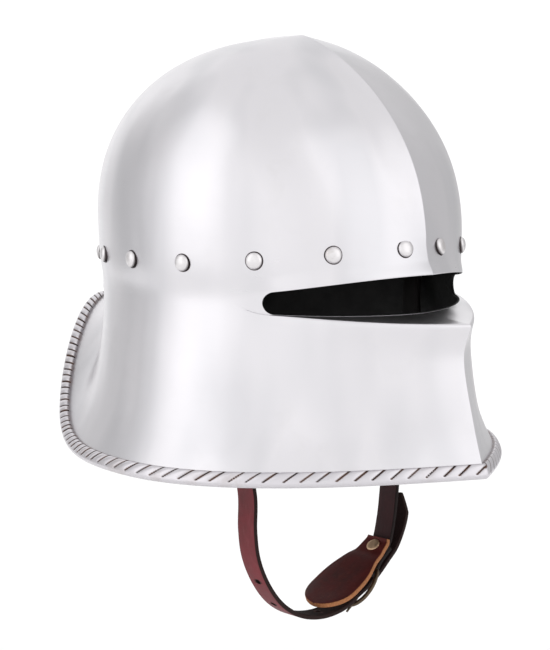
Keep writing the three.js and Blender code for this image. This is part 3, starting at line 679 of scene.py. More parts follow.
def closed_tube(rings):
    """Points and quads of rings joined into one endless tube."""
    ids = np.arange(rings.shape[0] * rings.shape[1]).reshape(rings.shape[:2])
    flat = rings.reshape(-1, 3)
    quads, _ = facing_out(flat, grid_quads(np.concatenate([ids, ids[:1]]), True), NO_TRIS)
    return flat, quads


def closed_curve(knots, steps):
    """A smooth closed curve through 2D knots, at even shares of its length."""
    table = np.array(knots, float)
    count = len(table)
    u = np.linspace(0, count, count * 24, endpoint=False)
    i = np.floor(u).astype(int)
    k = (u - i)[:, None]
    a, b, c, d = (table[(i + j) % count] for j in (-1, 0, 1, 2))
    fine = catmull(a, b, c, d, k)
    length = np.concatenate([[0], np.cumsum(np.linalg.norm(np.roll(fine, -1, 0) - fine, axis=1))])
    wanted = np.linspace(0, length[-1], steps, endpoint=False)
    fine = np.concatenate([fine, fine[:1]])
    return np.stack([np.interp(wanted, length, fine[:, j]) for j in range(2)], -1)


def make_rim():
    """The rolled edge with its rope cuts.

    A closed section stands on the skin's end, with one axis up the skin and one out of it. Where
    arc length less lean times height comes near a whole number of pitches, a V-shaped cut goes in,
    and the strand between two cuts swells by a sine.
    """
    dense = np.linspace(-math.pi, math.pi, 8001)
    place = skin(np.full(dense.shape, RIM), np.abs(dense), np.where(dense < 0, -1.0, 1.0))
    arc = np.concatenate([[0], np.cumsum(np.linalg.norm(np.diff(place, axis=0), axis=1))])
    wanted = np.linspace(0, arc[-1], RIM_COLUMNS, endpoint=False)
    turn = np.interp(wanted, arc, dense)
    side = np.where(turn < 0, -1.0, 1.0)
    turn = np.abs(turn)
    rim = skin(np.full(RIM_COLUMNS, RIM), turn, side)
    start = roll_row(turn, side)
    above = skin(start, turn, side)
    up = unit(above - rim)
    round_about = unit(np.roll(rim, -1, 0) - np.roll(rim, 1, 0))
    out = unit(np.cross(up, round_about))
    out *= np.sign(np.sum(out[:, :2] * rim[:, :2], -1, keepdims=True))
    tall = np.linalg.norm(above - rim, axis=-1)[:, None]
    shape = closed_curve(ROLL_SECTION, 46)
    height, proud = shape[:, 0][None, :], shape[:, 1][None, :]
    step = arc[-1] / RIM_COLUMNS
    pitch = lerp(CUT_PITCH, TAIL_PITCH, ease((np.degrees(turn) - TAIL_CUTS_FROM) / TAIL_CUTS_OVER))
    passed = np.cumsum(step / pitch)
    count = int(round(passed[-1]))
    passed = (passed * count / passed[-1])[:, None]
    pitch = pitch[:, None]
    rng = np.random.default_rng(7)
    jitter = rng.normal(0, CUT_JITTER, count + 1)
    along = passed - CUT_LEAN / CUT_PITCH * (height - CUT_FROM)
    number = np.floor(along + 0.5)
    which = number.astype(int) % count
    depth_of = rng.uniform(0.75, 1.1, count)[which]
    width_of = rng.uniform(0.75, 1.15, count)[which]
    away = np.abs((along - number - jitter[which] / CUT_PITCH) * pitch)
    outer = np.clip((proud - 0.05) / 0.3, 0, 1)
    within = ease((height - CUT_FROM + 0.03) / 0.06) * outer
    cut = np.clip(1 - away / (CUT_HALF * width_of), 0, 1) * within * depth_of
    strand = np.cos(math.pi * (along - number)) ** 2
    swell = (0.5 - strand) * STRAND_SWELL * outer * ease((height - 0.2) / 0.3)
    push = proud * ROLL_PROUD + swell - CUT_DEPTH * cut
    points = rim[:, None] + up[:, None] * (height * tall)[..., None] + out[:, None] * push[..., None]
    flat, quads = closed_tube(points)
    # Painted shade along the top seam of the roll and down each cut; the same mask also places the rust.
    seam_shade = np.clip((height - 0.93) / 0.05, 0, 1) * np.clip((0.6 - proud) / 0.2, 0, 1)
    painted_shade_and_rust = np.maximum(np.clip(cut * 1.3, 0, 1), 0.4 * seam_shade)
    dress(add_mesh("roped_rim", flat, quads, masks={"cut": painted_shade_and_rust}), [], "polished_steel", rope_steel())


# Rivets

HEAD_RADIUS = 4.9
HEAD_HEIGHT = 2.9
HEAD_FLANGE = 0.45
SHANK_RADIUS = 1.9
BURR_RADIUS = 3.4
BURR_HEIGHT = 1.1
STRAP_RIVET = 4
GAP = 0.3
FACET_GAP = 0.5
STRAP_SEAT = WALL + GAP + 2 * FACET_GAP
STRAP_WIDTH = 15
STRAP_THICK = 2.8


def rivet_angles():
    """Angles of equal arcs along the brow, from FIRST_RIVET to LAST_RIVET pitches short of the back."""
    t = np.linspace(0, math.pi, 361)
    brow = skin(np.full(t.shape, BROW), t, np.ones(t.shape))
    arc = np.concatenate([[0], np.cumsum(np.linalg.norm(np.diff(brow, axis=0), axis=1))])
    pitch = (arc[-1] - FIRST_RIVET) / (RIVETS_PER_SIDE - 1 + LAST_RIVET)
    return np.interp(FIRST_RIVET + pitch * np.arange(RIVETS_PER_SIDE), arc, t)


def brow_place(t, side):
    """Point, outward, downward and roundabout directions of the skin at the brow."""
    step = 1e-3
    one = np.array([side], float)

    def at(v, angle):
        return skin(np.array([v]), np.array([angle]), one)[0]

    down = unit(at(BROW + step, t) - at(BROW - step, t))
    around = unit(at(BROW, t + step) - at(BROW, t - step))
    out = unit(np.cross(around, down) * -side)
    return {"point": at(BROW, t), "out": out, "down": down, "round": around, "side": side}


def turned(profile, place, out, sides, wobble=0.0, seed=0):
    """A profile of radius and height turned round the axis out at place, its faces outward.

    The radius wobbles by three cosines of the turning angle, seeded.
    """
    profile = np.array(profile, float)
    other = unit(np.cross(out, np.array([0.3, 0.2, 1.0])))
    third = np.cross(out, other)
    angle = np.linspace(0, 2 * math.pi, sides, endpoint=False)
    rng = np.random.default_rng(seed)
    lobes = sum(rng.normal(0, wobble) * np.cos(k * angle + rng.uniform(0, 6.3)) for k in (1, 2, 3))
    radius = profile[:, :1] * (1 + lobes)
    circle = np.cos(angle)[:, None] * other + np.sin(angle)[:, None] * third
    return capped(place + profile[:, 1][:, None, None] * out + radius[..., None] * circle)


def make_rivets():
    """Sixteen domed rivets: a quarter-ellipse head, a shank, and a burr hammered over inside.

    The mask paints shade round the foot of each head, reaching further up on its lower side.
    """
    steel = rivet_steel()
    places = {}
    for side, word in ((-1, "right"), (1, "left")):
        for n, t in enumerate(rivet_angles(), 1):
            rivet = brow_place(t, side)
            places[side, n] = rivet
            holds = n == STRAP_RIVET
            under = STRAP_SEAT + STRAP_THICK + GAP if holds else WALL + GAP + FACET_GAP
            k = np.linspace(0.06, 1, 14) * math.pi / 2
            head = np.stack([HEAD_RADIUS * np.sin(k) ** 0.92, 0.1 + HEAD_HEIGHT * np.cos(k) ** 0.85], -1)
            rest = [
                [HEAD_RADIUS + HEAD_FLANGE, 0.1],
                [HEAD_RADIUS + HEAD_FLANGE, -0.3],
                [SHANK_RADIUS, -0.4],
                [SHANK_RADIUS, -under],
                [BURR_RADIUS, -under],
                [BURR_RADIUS * 0.92, -under - 0.5 * BURR_HEIGHT],
                [BURR_RADIUS * 0.6, -under - BURR_HEIGHT],
            ]
            profile = np.concatenate([head, rest])
            flat, quads, tris = turned(profile, rivet["point"], rivet["out"], 28, 0.012, n * 7 + side)
            reach = flat - rivet["point"]
            height = reach @ rivet["out"]
            # Painted shade: dark round each head's foot, higher on its lower side.
            low_side = np.clip(reach @ (rivet["down"] - 0.9 * rivet["round"]) / HEAD_RADIUS, 0, 1.2)
            painted_foot_shade = np.clip(1.5 * (1 - (height - 0.1) / (0.6 + 1.3 * low_side)), 0, 1)
            name = f"rivet_{word}_{n}"
            piece = add_mesh(name, flat, quads, tris, masks={"painted_foot_shade": painted_foot_shade})
            sharpen(piece, 50)
            dress(piece, ["brow_" + name], "rivet_steel", steel)
    return places


# Leather

STRAP_TIP = 12
HOLE_RADIUS = 1.8
HOLE_PITCH = 21
HOLE_COUNT = 5
TONGUE_SLOT = 9
PAD_THICK = 3
PAD_WIDTH = 37
PAD_OUTLINE = [[0, 0.46], [0.04, 0.5], [0.2, 0.6], [0.34, 0.76], [0.46, 0.91], [0.58, 0.985], [0.7, 1.0]]
PAD_ROUND = 0.7
PAD_RIVET_RADIUS = 4.6
PAD_RIVET_HEIGHT = 1.1
FRAME_BAR = 3
FRAME_THICK = 2.6
FRAME_REACH = 27
FRAME_WIDTH = 28
TONGUE_RADIUS = 1.1
STRAP_Y = -30
BAR = np.array([42.0, STRAP_Y, -206.0])
ALONG = np.array([0.8, 0, 0.6])
AWAY = np.array([0.6, 0, -0.8])
SIDEWAYS = np.array([0.0, 1.0, 0.0])
BEND_RADIUS = math.hypot(FRAME_BAR, FRAME_THICK) / 2 + GAP + STRAP_THICK / 2
PLY = (STRAP_THICK + GAP) / 2
PAD_RIVET_AT = 14
OVER_FOLD = BEND_RADIUS + STRAP_THICK + GAP
OVER_BURR = PLY + STRAP_THICK + 2 * GAP + PAD_RIVET_HEIGHT
END_BAR = OVER_FOLD + 0.8
UNDER_BAR = END_BAR - FRAME_THICK / 2 - GAP - STRAP_THICK / 2
PAD_DEPTH = PLY + STRAP_THICK / 2 + GAP + PAD_THICK / 2
PAD_OVER_FOLD = BEND_RADIUS + STRAP_THICK / 2 + GAP + PAD_THICK / 2
TONGUE_CROSSES = -9.5


def at_buckle(s, n):
    """A point s along the strap from the buckle's bar and n away from the chin."""
    return BAR + s * ALONG + n * AWAY + TO_FRAME


def flat_point(x, z):
    """A point in the plane in which the straps hang."""
    return np.array([x, STRAP_Y, z]) + TO_FRAME


def hang(rivet):
    """The strap's first points: under the wall at its rivet, then down and inwards."""
    seat = STRAP_SEAT + STRAP_THICK / 2
    steps = ((-9, 0), (0, 0), (12, 1.6), (24, 4.6))
    return [rivet["point"] + down * rivet["down"] - (seat + inward) * rivet["out"] for down, inward in steps]


def long_route(rivet):
    """The middle of the long strap: down, round under the chin, through the buckle and up past it."""
    return np.array(
        [
            *hang(rivet),
            np.array([-88, -26, -60]) + TO_FRAME,
            np.array([-72, -29, -108]) + TO_FRAME,
            flat_point(-63, -140),
            flat_point(-62.7, -163),
            flat_point(-60, -180),
            flat_point(-51.5, -198),
            flat_point(-39, -213),
            flat_point(-23, -223),
            flat_point(-5, -227.5),
            flat_point(12, -227),
            at_buckle(-26, UNDER_BAR - 1.9),
            at_buckle(-22, UNDER_BAR - 1.6),
            at_buckle(-11, OVER_FOLD - 1.3),
            at_buckle(0, OVER_FOLD),
            at_buckle(PAD_RIVET_AT, OVER_BURR + 0.3),
            at_buckle(25, OVER_BURR - 0.6),
            flat_point(73.8, -179),
            flat_point(76, -162),
        ]
    )


def buckle_route(rivet):
    """The middle of the buckle strap: down to the bar, round it in a bend and a short way back up."""
    turn = np.radians([-90, -135, 180, 135, 90])
    return np.array(
        [
            *hang(rivet),
            np.array([89, -26, -60]) + TO_FRAME,
            np.array([74.5, -29, -108]) + TO_FRAME,
            flat_point(67, -138),
            flat_point(64.5, -160),
            flat_point(62, -177),
            at_buckle(20, -PLY),
            at_buckle(PAD_RIVET_AT, -PLY),
            at_buckle(PAD_RIVET_AT - 5, -PLY),
            at_buckle(4.5, -PLY - 1.2),
            *[at_buckle(BEND_RADIUS * math.cos(a), BEND_RADIUS * math.sin(a)) for a in turn],
            at_buckle(4.5, PLY + 1.2),
            at_buckle(PAD_RIVET_AT - 5, PLY),
            at_buckle(PAD_RIVET_AT, PLY),
            at_buckle(20, PLY),
        ]
    )


def pad_route():
    """The middle of the pad: over its rivet and the fold, then free."""
    return np.array(
        [
            at_buckle(21, -PAD_DEPTH - 1.4),
            at_buckle(PAD_RIVET_AT + 4.6, -PAD_DEPTH - 0.1),
            at_buckle(PAD_RIVET_AT, -PAD_DEPTH),
            at_buckle(PAD_RIVET_AT - 6, -PAD_DEPTH - 0.1),
            at_buckle(1, -PAD_OVER_FOLD - 0.1),
            at_buckle(-15, -PAD_OVER_FOLD - 2.4),
            at_buckle(-31, -12),
            at_buckle(-47, -16.5),
        ]
    )


class Route:
    """A smooth curve through points, read at shares of its length.

    Each stretch is a Hermite cubic whose slopes weigh the chords by the square roots of their lengths.
    """

    def __init__(self, knots, fine=40):
        p = np.concatenate([[2 * knots[0] - knots[1]], knots, [2 * knots[-1] - knots[-2]]])
        gap = np.sqrt(np.linalg.norm(np.diff(p, axis=0), axis=1))[:, None]
        a, b, c, d = p[:-3], p[1:-2], p[2:-1], p[3:]
        before, here, after = gap[:-2], gap[1:-1], gap[2:]
        leave = ((b - a) / before - (c - a) / (before + here) + (c - b) / here) * here
        arrive = ((c - b) / here - (d - b) / (here + after) + (d - c) / after) * here
        k = np.linspace(0, 1, fine, endpoint=False)[None, :, None]
        b, c, leave, arrive = (q[:, None] for q in (b, c, leave, arrive))
        cubic = (2 * k**3 - 3 * k**2 + 1) * b + (k**3 - 2 * k**2 + k) * leave
        cubic = cubic + (3 * k**2 - 2 * k**3) * c + (k**3 - k**2) * arrive
        self.points = np.concatenate([cubic.reshape(-1, 3), knots[-1:]])
        self.arc = np.concatenate([[0], np.cumsum(np.linalg.norm(np.diff(self.points, axis=0), axis=1))])
        self.length = self.arc[-1]

    def at(self, share):
        """The points at shares of the length."""
        wanted = np.asarray(share) * self.length
        return np.stack([np.interp(wanted, self.arc, self.points[:, j]) for j in range(3)], -1)

    def heading(self, share):
        """The unit directions at shares of the length."""
        share = np.asarray(share, float)
        step = 0.6 / self.length
        return unit(self.at(np.minimum(share + step, 1)) - self.at(np.maximum(share - step, 0)))

    def nearest(self, point):
        """The share of the length at which the curve passes closest to a point."""
        share = np.linspace(0, 1, 2001)
        return share[np.argmin(np.linalg.norm(self.at(share) - point, axis=1))]


def leather_strip(name, route, thick, width_at, across_at, share, corner=0.75):
    """A strip carried along a route: a rectangle with rounded corners, its two ends closed by fans.

    Each point of the section is a times the half width plus c times the corner's radius across, and
    f times the half thickness plus s times that radius deep. The masks say where the cut edge is,
    and which face is the flesh side.
    """
    place = route.at(share)
    heading = route.heading(share)
    across = across_at(share)
    across = unit(across - np.sum(across * heading, -1, keepdims=True) * heading)
    face = np.cross(heading, across)
    bend = min(corner, thick * 0.45)
    turn = np.radians(np.linspace(0, 90, 5))
    section_points = []
    for a, f, start in ((1, 1, 0), (-1, 1, 90), (-1, -1, 180), (1, -1, 270)):
        around = turn + math.radians(start)
        section_points += [(a, f, math.cos(q), math.sin(q)) for q in around]
        if a == f:
            section_points += [(f * w, f, 0, f) for w in (0.6, 0.2, -0.2, -0.6)]
    a, f, c, s = np.array(section_points).T
    sideways = a * (width_at(share)[:, None] / 2 - bend) + c * bend
    depth = (f * (thick / 2 - bend) + s * bend)[None, :, None]
    rings = place[:, None] + sideways[..., None] * across[:, None] + depth * face[:, None]
    edge = np.concatenate([np.tile(np.abs(c) > 0.35, len(share)), [1, 1]])
    flesh = np.concatenate([np.tile(f > 0, len(share)), [0, 0]])
    piece = add_mesh(name, *capped(rings), masks={"edge": edge, "flesh": flesh})
    sharpen(piece, 60)
    return piece


def strap_across(rivet):
    """The strap's width runs round the shell at its rivet, and sideways from a third of its length on."""
    def across(share):
        return lerp(rivet["round"], SIDEWAYS, ease(share * 3)[:, None])

    return across


def point_keys(mesh):
    """One whole number for each point's place, in thousandths of a millimetre."""
    places = np.zeros(3 * len(mesh.vertices), np.float32)
    mesh.vertices.foreach_get("co", places)
    whole = np.round(places.reshape(-1, 3).astype(float) * 1e6).astype(np.int64)
    return whole @ np.array([1, 2**21, 2**42])


def cut_through(piece, cutters):
    """Takes the cutters' solids out of a piece, and leaves the result as its mesh.

    The points that the cutting adds get the mask of a cut edge.
    """
    before = point_keys(piece.data)
    for cutter in cutters:
        tool = piece.modifiers.new("cut", "BOOLEAN")
        tool.operation = "DIFFERENCE"
        tool.solver = "MANIFOLD"
        tool.object = cutter
    graph = bpy.context.evaluated_depsgraph_get()
    made = bpy.data.meshes.new_from_object(piece.evaluated_get(graph), depsgraph=graph)
    piece.modifiers.clear()
    piece.data = made
    made.polygons.foreach_set("material_index", np.zeros(len(made.polygons), np.int32))
    edge = np.zeros(len(made.vertices), np.float32)
    made.attributes["edge"].data.foreach_get("value", edge)
    edge[~np.isin(point_keys(made), before)] = 1
    made.attributes["edge"].data.foreach_set("value", edge)
    for cutter in cutters:
        bpy.data.objects.remove(cutter)


def round_cutter(place, axis, radius, reach):
    """A cylinder round the axis, reaching as far both ways."""
    return add_mesh("cutter", *turned([[radius, -reach], [radius, reach]], place, axis, 20), smooth=False)


def pin_cutter(place, axis, reach):
    """The hole for a rivet's shank."""
    return round_cutter(place, axis, SHANK_RADIUS + 0.1, reach)


def slot_cutter(place, heading, axis, length, width, reach):
    """A box with rounded ends: a stadium outline carried along the axis."""
    third = np.cross(axis, heading)
    angle = np.linspace(0, 2 * math.pi, 24, endpoint=False)
    reach_x = np.sign(np.cos(angle)) * (length - width) / 2 + np.cos(angle) * width / 2
    outline = reach_x[:, None] * heading + (np.sin(angle) * width / 2)[:, None] * third
    rings = np.stack([place + outline - reach * axis, place + outline + reach * axis])
    return add_mesh("cutter", *capped(rings), smooth=False)


def make_long_strap(rivet):
    """The wearer's right strap: an even strip with a rounded tip, a row of holes and the tongue's slot."""
    route = Route(long_route(rivet))
    tip = STRAP_TIP / route.length
    slot_at = route.nearest(at_buckle(TONGUE_CROSSES, OVER_FOLD - 1))

    def strap_width(share):
        return STRAP_WIDTH * lerp(0.15, 1, np.clip((1 - share) / tip, 0, 1) ** 0.85)

    closing = np.sin(np.linspace(0.1, 1, 14) * math.pi / 2)
    shares = np.concatenate([np.linspace(0, 1 - tip, 260), 1 - tip * (1 - closing)])
    strap = leather_strip("strap_long", route, STRAP_THICK, strap_width, strap_across(rivet), shares)
    cutters = [pin_cutter(rivet["point"], rivet["out"], 12)]
    for n in range(1, HOLE_COUNT + 1):
        share = slot_at - n * HOLE_PITCH / route.length
        axis = unit(np.cross(route.heading(share), SIDEWAYS))
        cutters.append(round_cutter(route.at(share), axis, HOLE_RADIUS, 4))
    heading = route.heading(slot_at)
    axis = unit(np.cross(heading, SIDEWAYS))
    cutters.append(slot_cutter(route.at(slot_at), heading, axis, TONGUE_SLOT, 2 * TONGUE_RADIUS + 1.2, 4))
    red_brown = strap_leather(
        "strap leather",
        (0.17, 0.027, 0.034, 1),
        (0.1, 0.017, 0.02, 1),
        (0.22, 0.06, 0.066, 1),
        (0.022, 0.009, 0.008, 1),
        (0.02, 0.007, 0.007, 1),
    )
    dress(strap, ["long_strap"], "strap_leather", red_brown)
    cut_through(strap, cutters)


def make_buckle_strap(rivet):
    """The wearer's left strap: an even strip folded round the bar, slotted there for the tongue."""

    def strap_width(share):
        return np.full(share.shape, float(STRAP_WIDTH))

    route = Route(buckle_route(rivet))
    shares = np.linspace(0, 1, 300)
    strap = leather_strip("strap_buckle", route, STRAP_THICK, strap_width, strap_across(rivet), shares)
    slot_length = BEND_RADIUS + STRAP_THICK + 8
    slot = slot_cutter(at_buckle(-4.6, 0), ALONG, AWAY, slot_length, 4.4, 4 * BEND_RADIUS)
    # A darker copy of the strap leather: painted shade for the strap that lies in the helmet's shadow.
    shaded = strap_leather(
        "shaded strap leather",
        (0.032, 0.006, 0.008, 1),
        (0.018, 0.004, 0.005, 1),
        (0.06, 0.014, 0.016, 1),
        (0.012, 0.006, 0.006, 1),
        (0.014, 0.006, 0.006, 1),
    )
    dress(strap, ["buckle_strap"], "strap_leather", shaded)
    pad_pin = pin_cutter(at_buckle(PAD_RIVET_AT, 0), AWAY, 6)
    cut_through(strap, [pin_cutter(rivet["point"], rivet["out"], 12), slot, pad_pin])


def pad_width(share):
    """Hermite curve through the outline's widths, and from PAD_ROUND on a quarter of a superellipse."""
    outline = np.array(PAD_OUTLINE)
    body = Route(np.concatenate([outline * [100, 10], np.zeros((len(outline), 1))], 1)).points
    wide = np.interp(share * 100, body[:, 0], body[:, 1]) / 10
    k = np.clip((share - PAD_ROUND) / (1 - PAD_ROUND), 0, 1)
    return PAD_WIDTH * np.where(share > PAD_ROUND, np.maximum((1 - k**2.3) ** (1 / 1.9), 0.06), wide)


def pad_across(share):
    """The pad's width runs sideways all along."""
    return np.repeat(SIDEWAYS[None], len(share), 0)


def make_pad():
    """The chin pad: a strip of changing width with a rounded end."""
    closing = np.sin(np.linspace(0.05, 1, 26) * math.pi / 2)
    shares = np.concatenate([np.linspace(0, PAD_ROUND, 60), PAD_ROUND + (1 - PAD_ROUND) * closing])
    pad = leather_strip("pad", Route(pad_route()), PAD_THICK, pad_width, pad_across, shares, corner=0.5)
    brown = strap_leather(
        "pad leather",
        (0.1, 0.013, 0.012, 1),
        (0.05, 0.008, 0.007, 1),
        (0.16, 0.03, 0.02, 1),
        (0.42, 0.17, 0.07, 1),
        (0.3, 0.12, 0.06, 1),
        1100.0,
    )
    dress(pad, ["chin_pad"], "pad_leather", brown)
    cut_through(pad, [pin_cutter(at_buckle(PAD_RIVET_AT, 0), AWAY, 12)])


# Buckle


def make_pad_rivet():
    """A flat brass rivet with a softly rounded rim, turned, and its burr behind the fold."""
    top = PAD_DEPTH + PAD_THICK / 2 + 0.1
    burr = PLY + STRAP_THICK / 2 + 0.1
    high = PAD_RIVET_HEIGHT
    radius = PAD_RIVET_RADIUS
    profile = [
        [radius * 0.3, -top - high * 1.0],
        [radius * 0.6, -top - high * 0.97],
        [radius * 0.8, -top - high * 0.85],
        [radius * 0.93, -top - high * 0.55],
        [radius * 0.99, -top - high * 0.2],
        [radius, -top],
        [SHANK_RADIUS, -top],
        [SHANK_RADIUS, burr],
        [BURR_RADIUS, burr],
        [BURR_RADIUS * 0.9, burr + high * 0.5],
        [BURR_RADIUS * 0.6, burr + high * 0.8],
    ]
    brass = aged_brass("rivet brass", (0.8, 0.57, 0.38, 1), (0.45, 0.31, 0.2, 1), 0.8, 0.5, 0.68)
    flat, quads, tris = turned(profile, at_buckle(PAD_RIVET_AT, 0), AWAY, 36, 0.006, 3)
    piece = add_mesh("brass_rivet", flat, quads, tris)
    sharpen(piece, 50)
    dress(piece, ["pad_rivet"], "rivet_brass", brass)


def ring_along(centre, first, second, radius_a, radius_b, sides):
    """An oval at each point of a centreline: radii a and b times the cosine and sine of an angle."""
    angle = np.linspace(0, 2 * math.pi, sides, endpoint=False)
    wide = np.outer(radius_a, np.cos(angle))[..., None] * first[:, None]
    return centre[:, None] + wide + np.outer(radius_b, np.sin(angle))[..., None] * second[:, None]


def make_frame(dark):
    """The D-shaped frame and its bar: an arc of an ellipse and a straight line, rounded where they meet."""
    tilt = math.atan2(END_BAR, FRAME_REACH)
    along = ALONG * math.cos(tilt) - AWAY * math.sin(tilt)
    away = AWAY * math.cos(tilt) + ALONG * math.sin(tilt)
    middle = FRAME_REACH * 0.34
    long = FRAME_REACH - middle
    wide = (FRAME_WIDTH - FRAME_BAR) / 2
    start = math.acos(-middle / long)
    angle = np.linspace(-start, start, 72)
    bow = np.stack([-(middle + long * np.cos(angle)), wide * np.sin(angle)], -1)
    k = np.linspace(0, 1, 22)[1:-1]
    bar = bow[-1] + (bow[0] - bow[-1]) * k[:, None]
    outline = np.concatenate([bow, bar])
    for _ in range(3):
        outline = 0.5 * outline + 0.25 * (np.roll(outline, 1, 0) + np.roll(outline, -1, 0))
    centre = at_buckle(0, 0) + outline[:, :1] * along - outline[:, 1:] * SIDEWAYS
    run = unit(np.roll(centre, -1, 0) - np.roll(centre, 1, 0))
    across = np.cross(run, away)
    even = np.ones(len(centre))
    away = even[:, None] * away
    rings = ring_along(centre, across, away, even * FRAME_BAR / 2, even * FRAME_THICK / 2, 14)
    dress(add_mesh("buckle_bow", *closed_tube(rings)), ["buckle_frame"], "dark_brass", dark)


def make_tongue(dark):
    """The tongue: an oval rod rolled into an eye round the bar, flatter there and thinner at the tip."""
    eye = math.hypot(FRAME_BAR, FRAME_THICK) / 2 + 1
    rest = END_BAR + FRAME_THICK / 2 + GAP + TONGUE_RADIUS
    turn = np.radians(np.linspace(-150, 150, 14))
    knots = np.array(
        [
            *[at_buckle(eye * math.cos(a), eye * math.sin(a)) for a in turn],
            at_buckle(-5.5, 3.6),
            at_buckle(TONGUE_CROSSES + 1, OVER_FOLD - 0.4),
            at_buckle(-14, rest - 0.5),
            at_buckle(-21, rest + 0.2),
            at_buckle(-FRAME_REACH - 2.5, rest + 0.2),
        ]
    )
    route = Route(knots)
    share = np.linspace(0, 1, 150)
    side = np.repeat(SIDEWAYS[None], len(share), 0)
    other = unit(np.cross(route.heading(share), side))
    radius = TONGUE_RADIUS * lerp(1.0, 0.7, ease((share - 0.75) / 0.25))
    flatten = lerp(1.45, 1.0, ease(share / 0.5))
    rings = ring_along(route.at(share), side, other, radius * flatten, 0.85 * radius, 12)
    dress(add_mesh("buckle_pin", *capped(rings)), ["buckle_tongue"], "dark_brass", dark)


# Studio

# The camera's side of the helmet, in degrees, and lengths in metres
VIEW_AZIMUTH = 44.2
VIEW_ELEVATION = 7.0
VIEW_DISTANCE = 1.0
VIEW_TARGET = Vector((-0.00545, 0.0183, -0.1788))
FOCAL_PIXELS = 1580
PICTURE_WIDTH = 550
SENSOR_WIDTH = 36
BOX_TARGET = Vector((0, 0.02, -0.13))
BOX_ELEVATION = 24
BOX_DISTANCE = 2.2
BOX_HEIGHT = 3.0


def look_at(name, data, target, azimuth, elevation, distance):
    """A camera or light that looks at a target from an azimuth round from the front, clockwise."""
    looker = bpy.data.objects.new(name, data)
    bpy.context.scene.collection.objects.link(looker)
    a, e = math.radians(azimuth), math.radians(elevation)
    back = Vector((-math.sin(a) * math.cos(e), -math.cos(a) * math.cos(e), math.sin(e)))
    looker.location = target + distance * back
    looker.rotation_euler = (-back).to_track_quat("-Z", "Y").to_euler()
    return looker


def make_camera():
    """The camera at the picture's viewing angle."""
    data = bpy.data.cameras.new("camera")
    data.sensor_fit = "HORIZONTAL"
    data.sensor_width = SENSOR_WIDTH
    data.lens = FOCAL_PIXELS * SENSOR_WIDTH / PICTURE_WIDTH
    camera = look_at("camera", data, VIEW_TARGET, VIEW_AZIMUTH, VIEW_ELEVATION, VIEW_DISTANCE)
    bpy.context.scene.camera = camera


def add_softbox(name, azimuth, width, power):
    """A tall soft area light."""
    data = bpy.data.lights.new(name, "AREA")
    data.shape = "RECTANGLE"
    data.size = width
    data.size_y = BOX_HEIGHT
    data.energy = power
    look_at(name, data, BOX_TARGET, azimuth, BOX_ELEVATION, BOX_DISTANCE)


# Brightness of the room by the angle from the camera's side, positive to the picture's right
ROOM_LIGHT = [(-180, 1.1), (-165, 1.1), (-150, 1.22), (-133, 0.7), (-112, 0.66), (-88, 1.15), (-45, 1.2)]
ROOM_LIGHT += [(-8, 1.24), (14, 1.14), (35, 1.12), (80, 1.15), (103, 0.66), (163, 0.66), (169, 1.1)]
ROOM_LIGHT += [(180, 1.1)]
CEILING_LIGHT = 1.02
FLOOR_RADIUS = 1.5
FLOOR_SIDES = 96
FLOOR_HEIGHT = -0.5


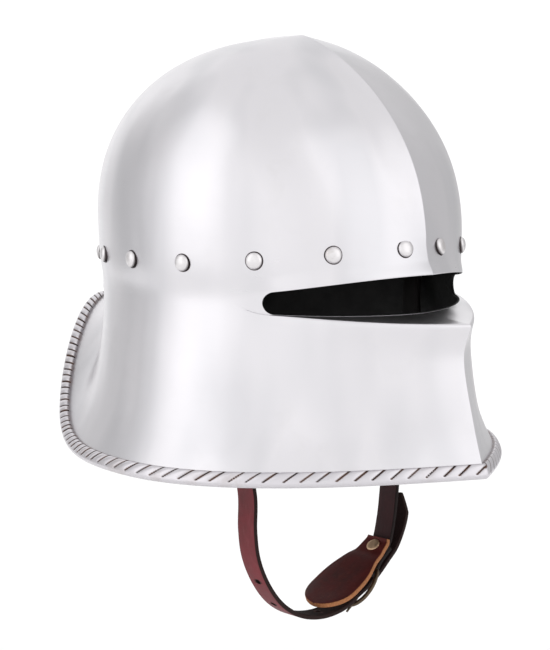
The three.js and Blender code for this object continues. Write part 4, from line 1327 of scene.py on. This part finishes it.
def make_world():
    """A room whose walls go from bright to dim and back round the helmet, under a plain ceiling.

    A ramp holds colours up to 1, so the light is halved in it and doubled by the background.
    """
    world = bpy.data.worlds.new("studio")
    world.use_nodes = True
    tree = world.node_tree
    n = Nodes(tree)
    place = n.add("ShaderNodeTexCoord").outputs["Generated"]
    height = n.add("ShaderNodeSeparateXYZ", {"Vector": place}).outputs["Z"]
    sine, cosine = math.sin(math.radians(VIEW_AZIMUTH)), math.cos(math.radians(VIEW_AZIMUTH))
    to_right = n.add("ShaderNodeVectorMath", {0: place, 1: (cosine, -sine, 0)}, operation="DOT_PRODUCT")
    to_camera = n.add("ShaderNodeVectorMath", {0: place, 1: (-sine, -cosine, 0)}, operation="DOT_PRODUCT")
    angle = n.math("ARCTAN2", to_right.outputs["Value"], to_camera.outputs["Value"])
    walls = n.add("ShaderNodeValToRGB", {"Fac": n.ramp(angle, -math.pi, math.pi)})
    walls.color_ramp.interpolation = "EASE"
    stops = walls.color_ramp.elements
    while len(stops) < len(ROOM_LIGHT):
        stops.new(0.5)
    for stop, (degrees, light) in zip(stops, ROOM_LIGHT):
        stop.position = (degrees + 180) / 360
        stop.color = (light / 2, light / 2, light / 2, 1)
    shade = n.mix(n.ramp(height, 0.35, 0.85), walls.outputs["Color"], (CEILING_LIGHT / 2,) * 3 + (1,))
    background = tree.nodes["Background"]
    tree.links.new(shade, background.inputs["Color"])
    background.inputs["Strength"].default_value = 2.0
    bpy.context.scene.world = world


def make_studio():
    """The room, a round pale floor and two soft boxes."""
    scene = bpy.context.scene
    scene.view_settings.view_transform = "Standard"
    scene.view_settings.look = "None"
    make_world()
    angle = np.linspace(0, 2 * math.pi, FLOOR_SIDES, endpoint=False)
    edge = FLOOR_RADIUS * 1000 * np.stack([np.cos(angle), np.sin(angle)], -1)
    height = np.full((FLOOR_SIDES + 1, 1), FLOOR_HEIGHT * 1000)
    points = np.concatenate([np.append(edge, [[0, 0]], 0), height], 1)
    ids = np.arange(FLOOR_SIDES)
    tris = np.stack([ids, np.roll(ids, -1), np.full(FLOOR_SIDES, FLOOR_SIDES)], -1)
    floor = add_mesh("floor", points, np.zeros((0, 4), int), tris, smooth=False)
    material, n, shader, place = start_material("pale floor")
    tint = n.mix(n.noise(place, 3.0), (0.93, 0.93, 0.93, 1), (0.96, 0.96, 0.96, 1))
    link(material, tint, shader, "Base Color")
    shader.inputs["Roughness"].default_value = 0.9
    shader.inputs["Emission Color"].default_value = (1, 1, 1, 1)
    shader.inputs["Emission Strength"].default_value = 0.07
    floor.data.materials.append(material)
    add_softbox("soft box left", 104, 1.5, 5.0)
    add_softbox("soft box right", -8, 1.9, 5.6)


make_camera()
make_shell()
make_rim()
brow_rivets = make_rivets()
make_long_strap(brow_rivets[-1, STRAP_RIVET])
make_buckle_strap(brow_rivets[1, STRAP_RIVET])
make_pad()
make_pad_rivet()
antique_brass = aged_brass(
    "antique brass", (0.11, 0.082, 0.056, 1), (0.025, 0.019, 0.014, 1), 1.0, 0.34, 0.55
)
make_frame(antique_brass)
make_tongue(antique_brass)
make_studio()

bpy.context.view_layer.update()
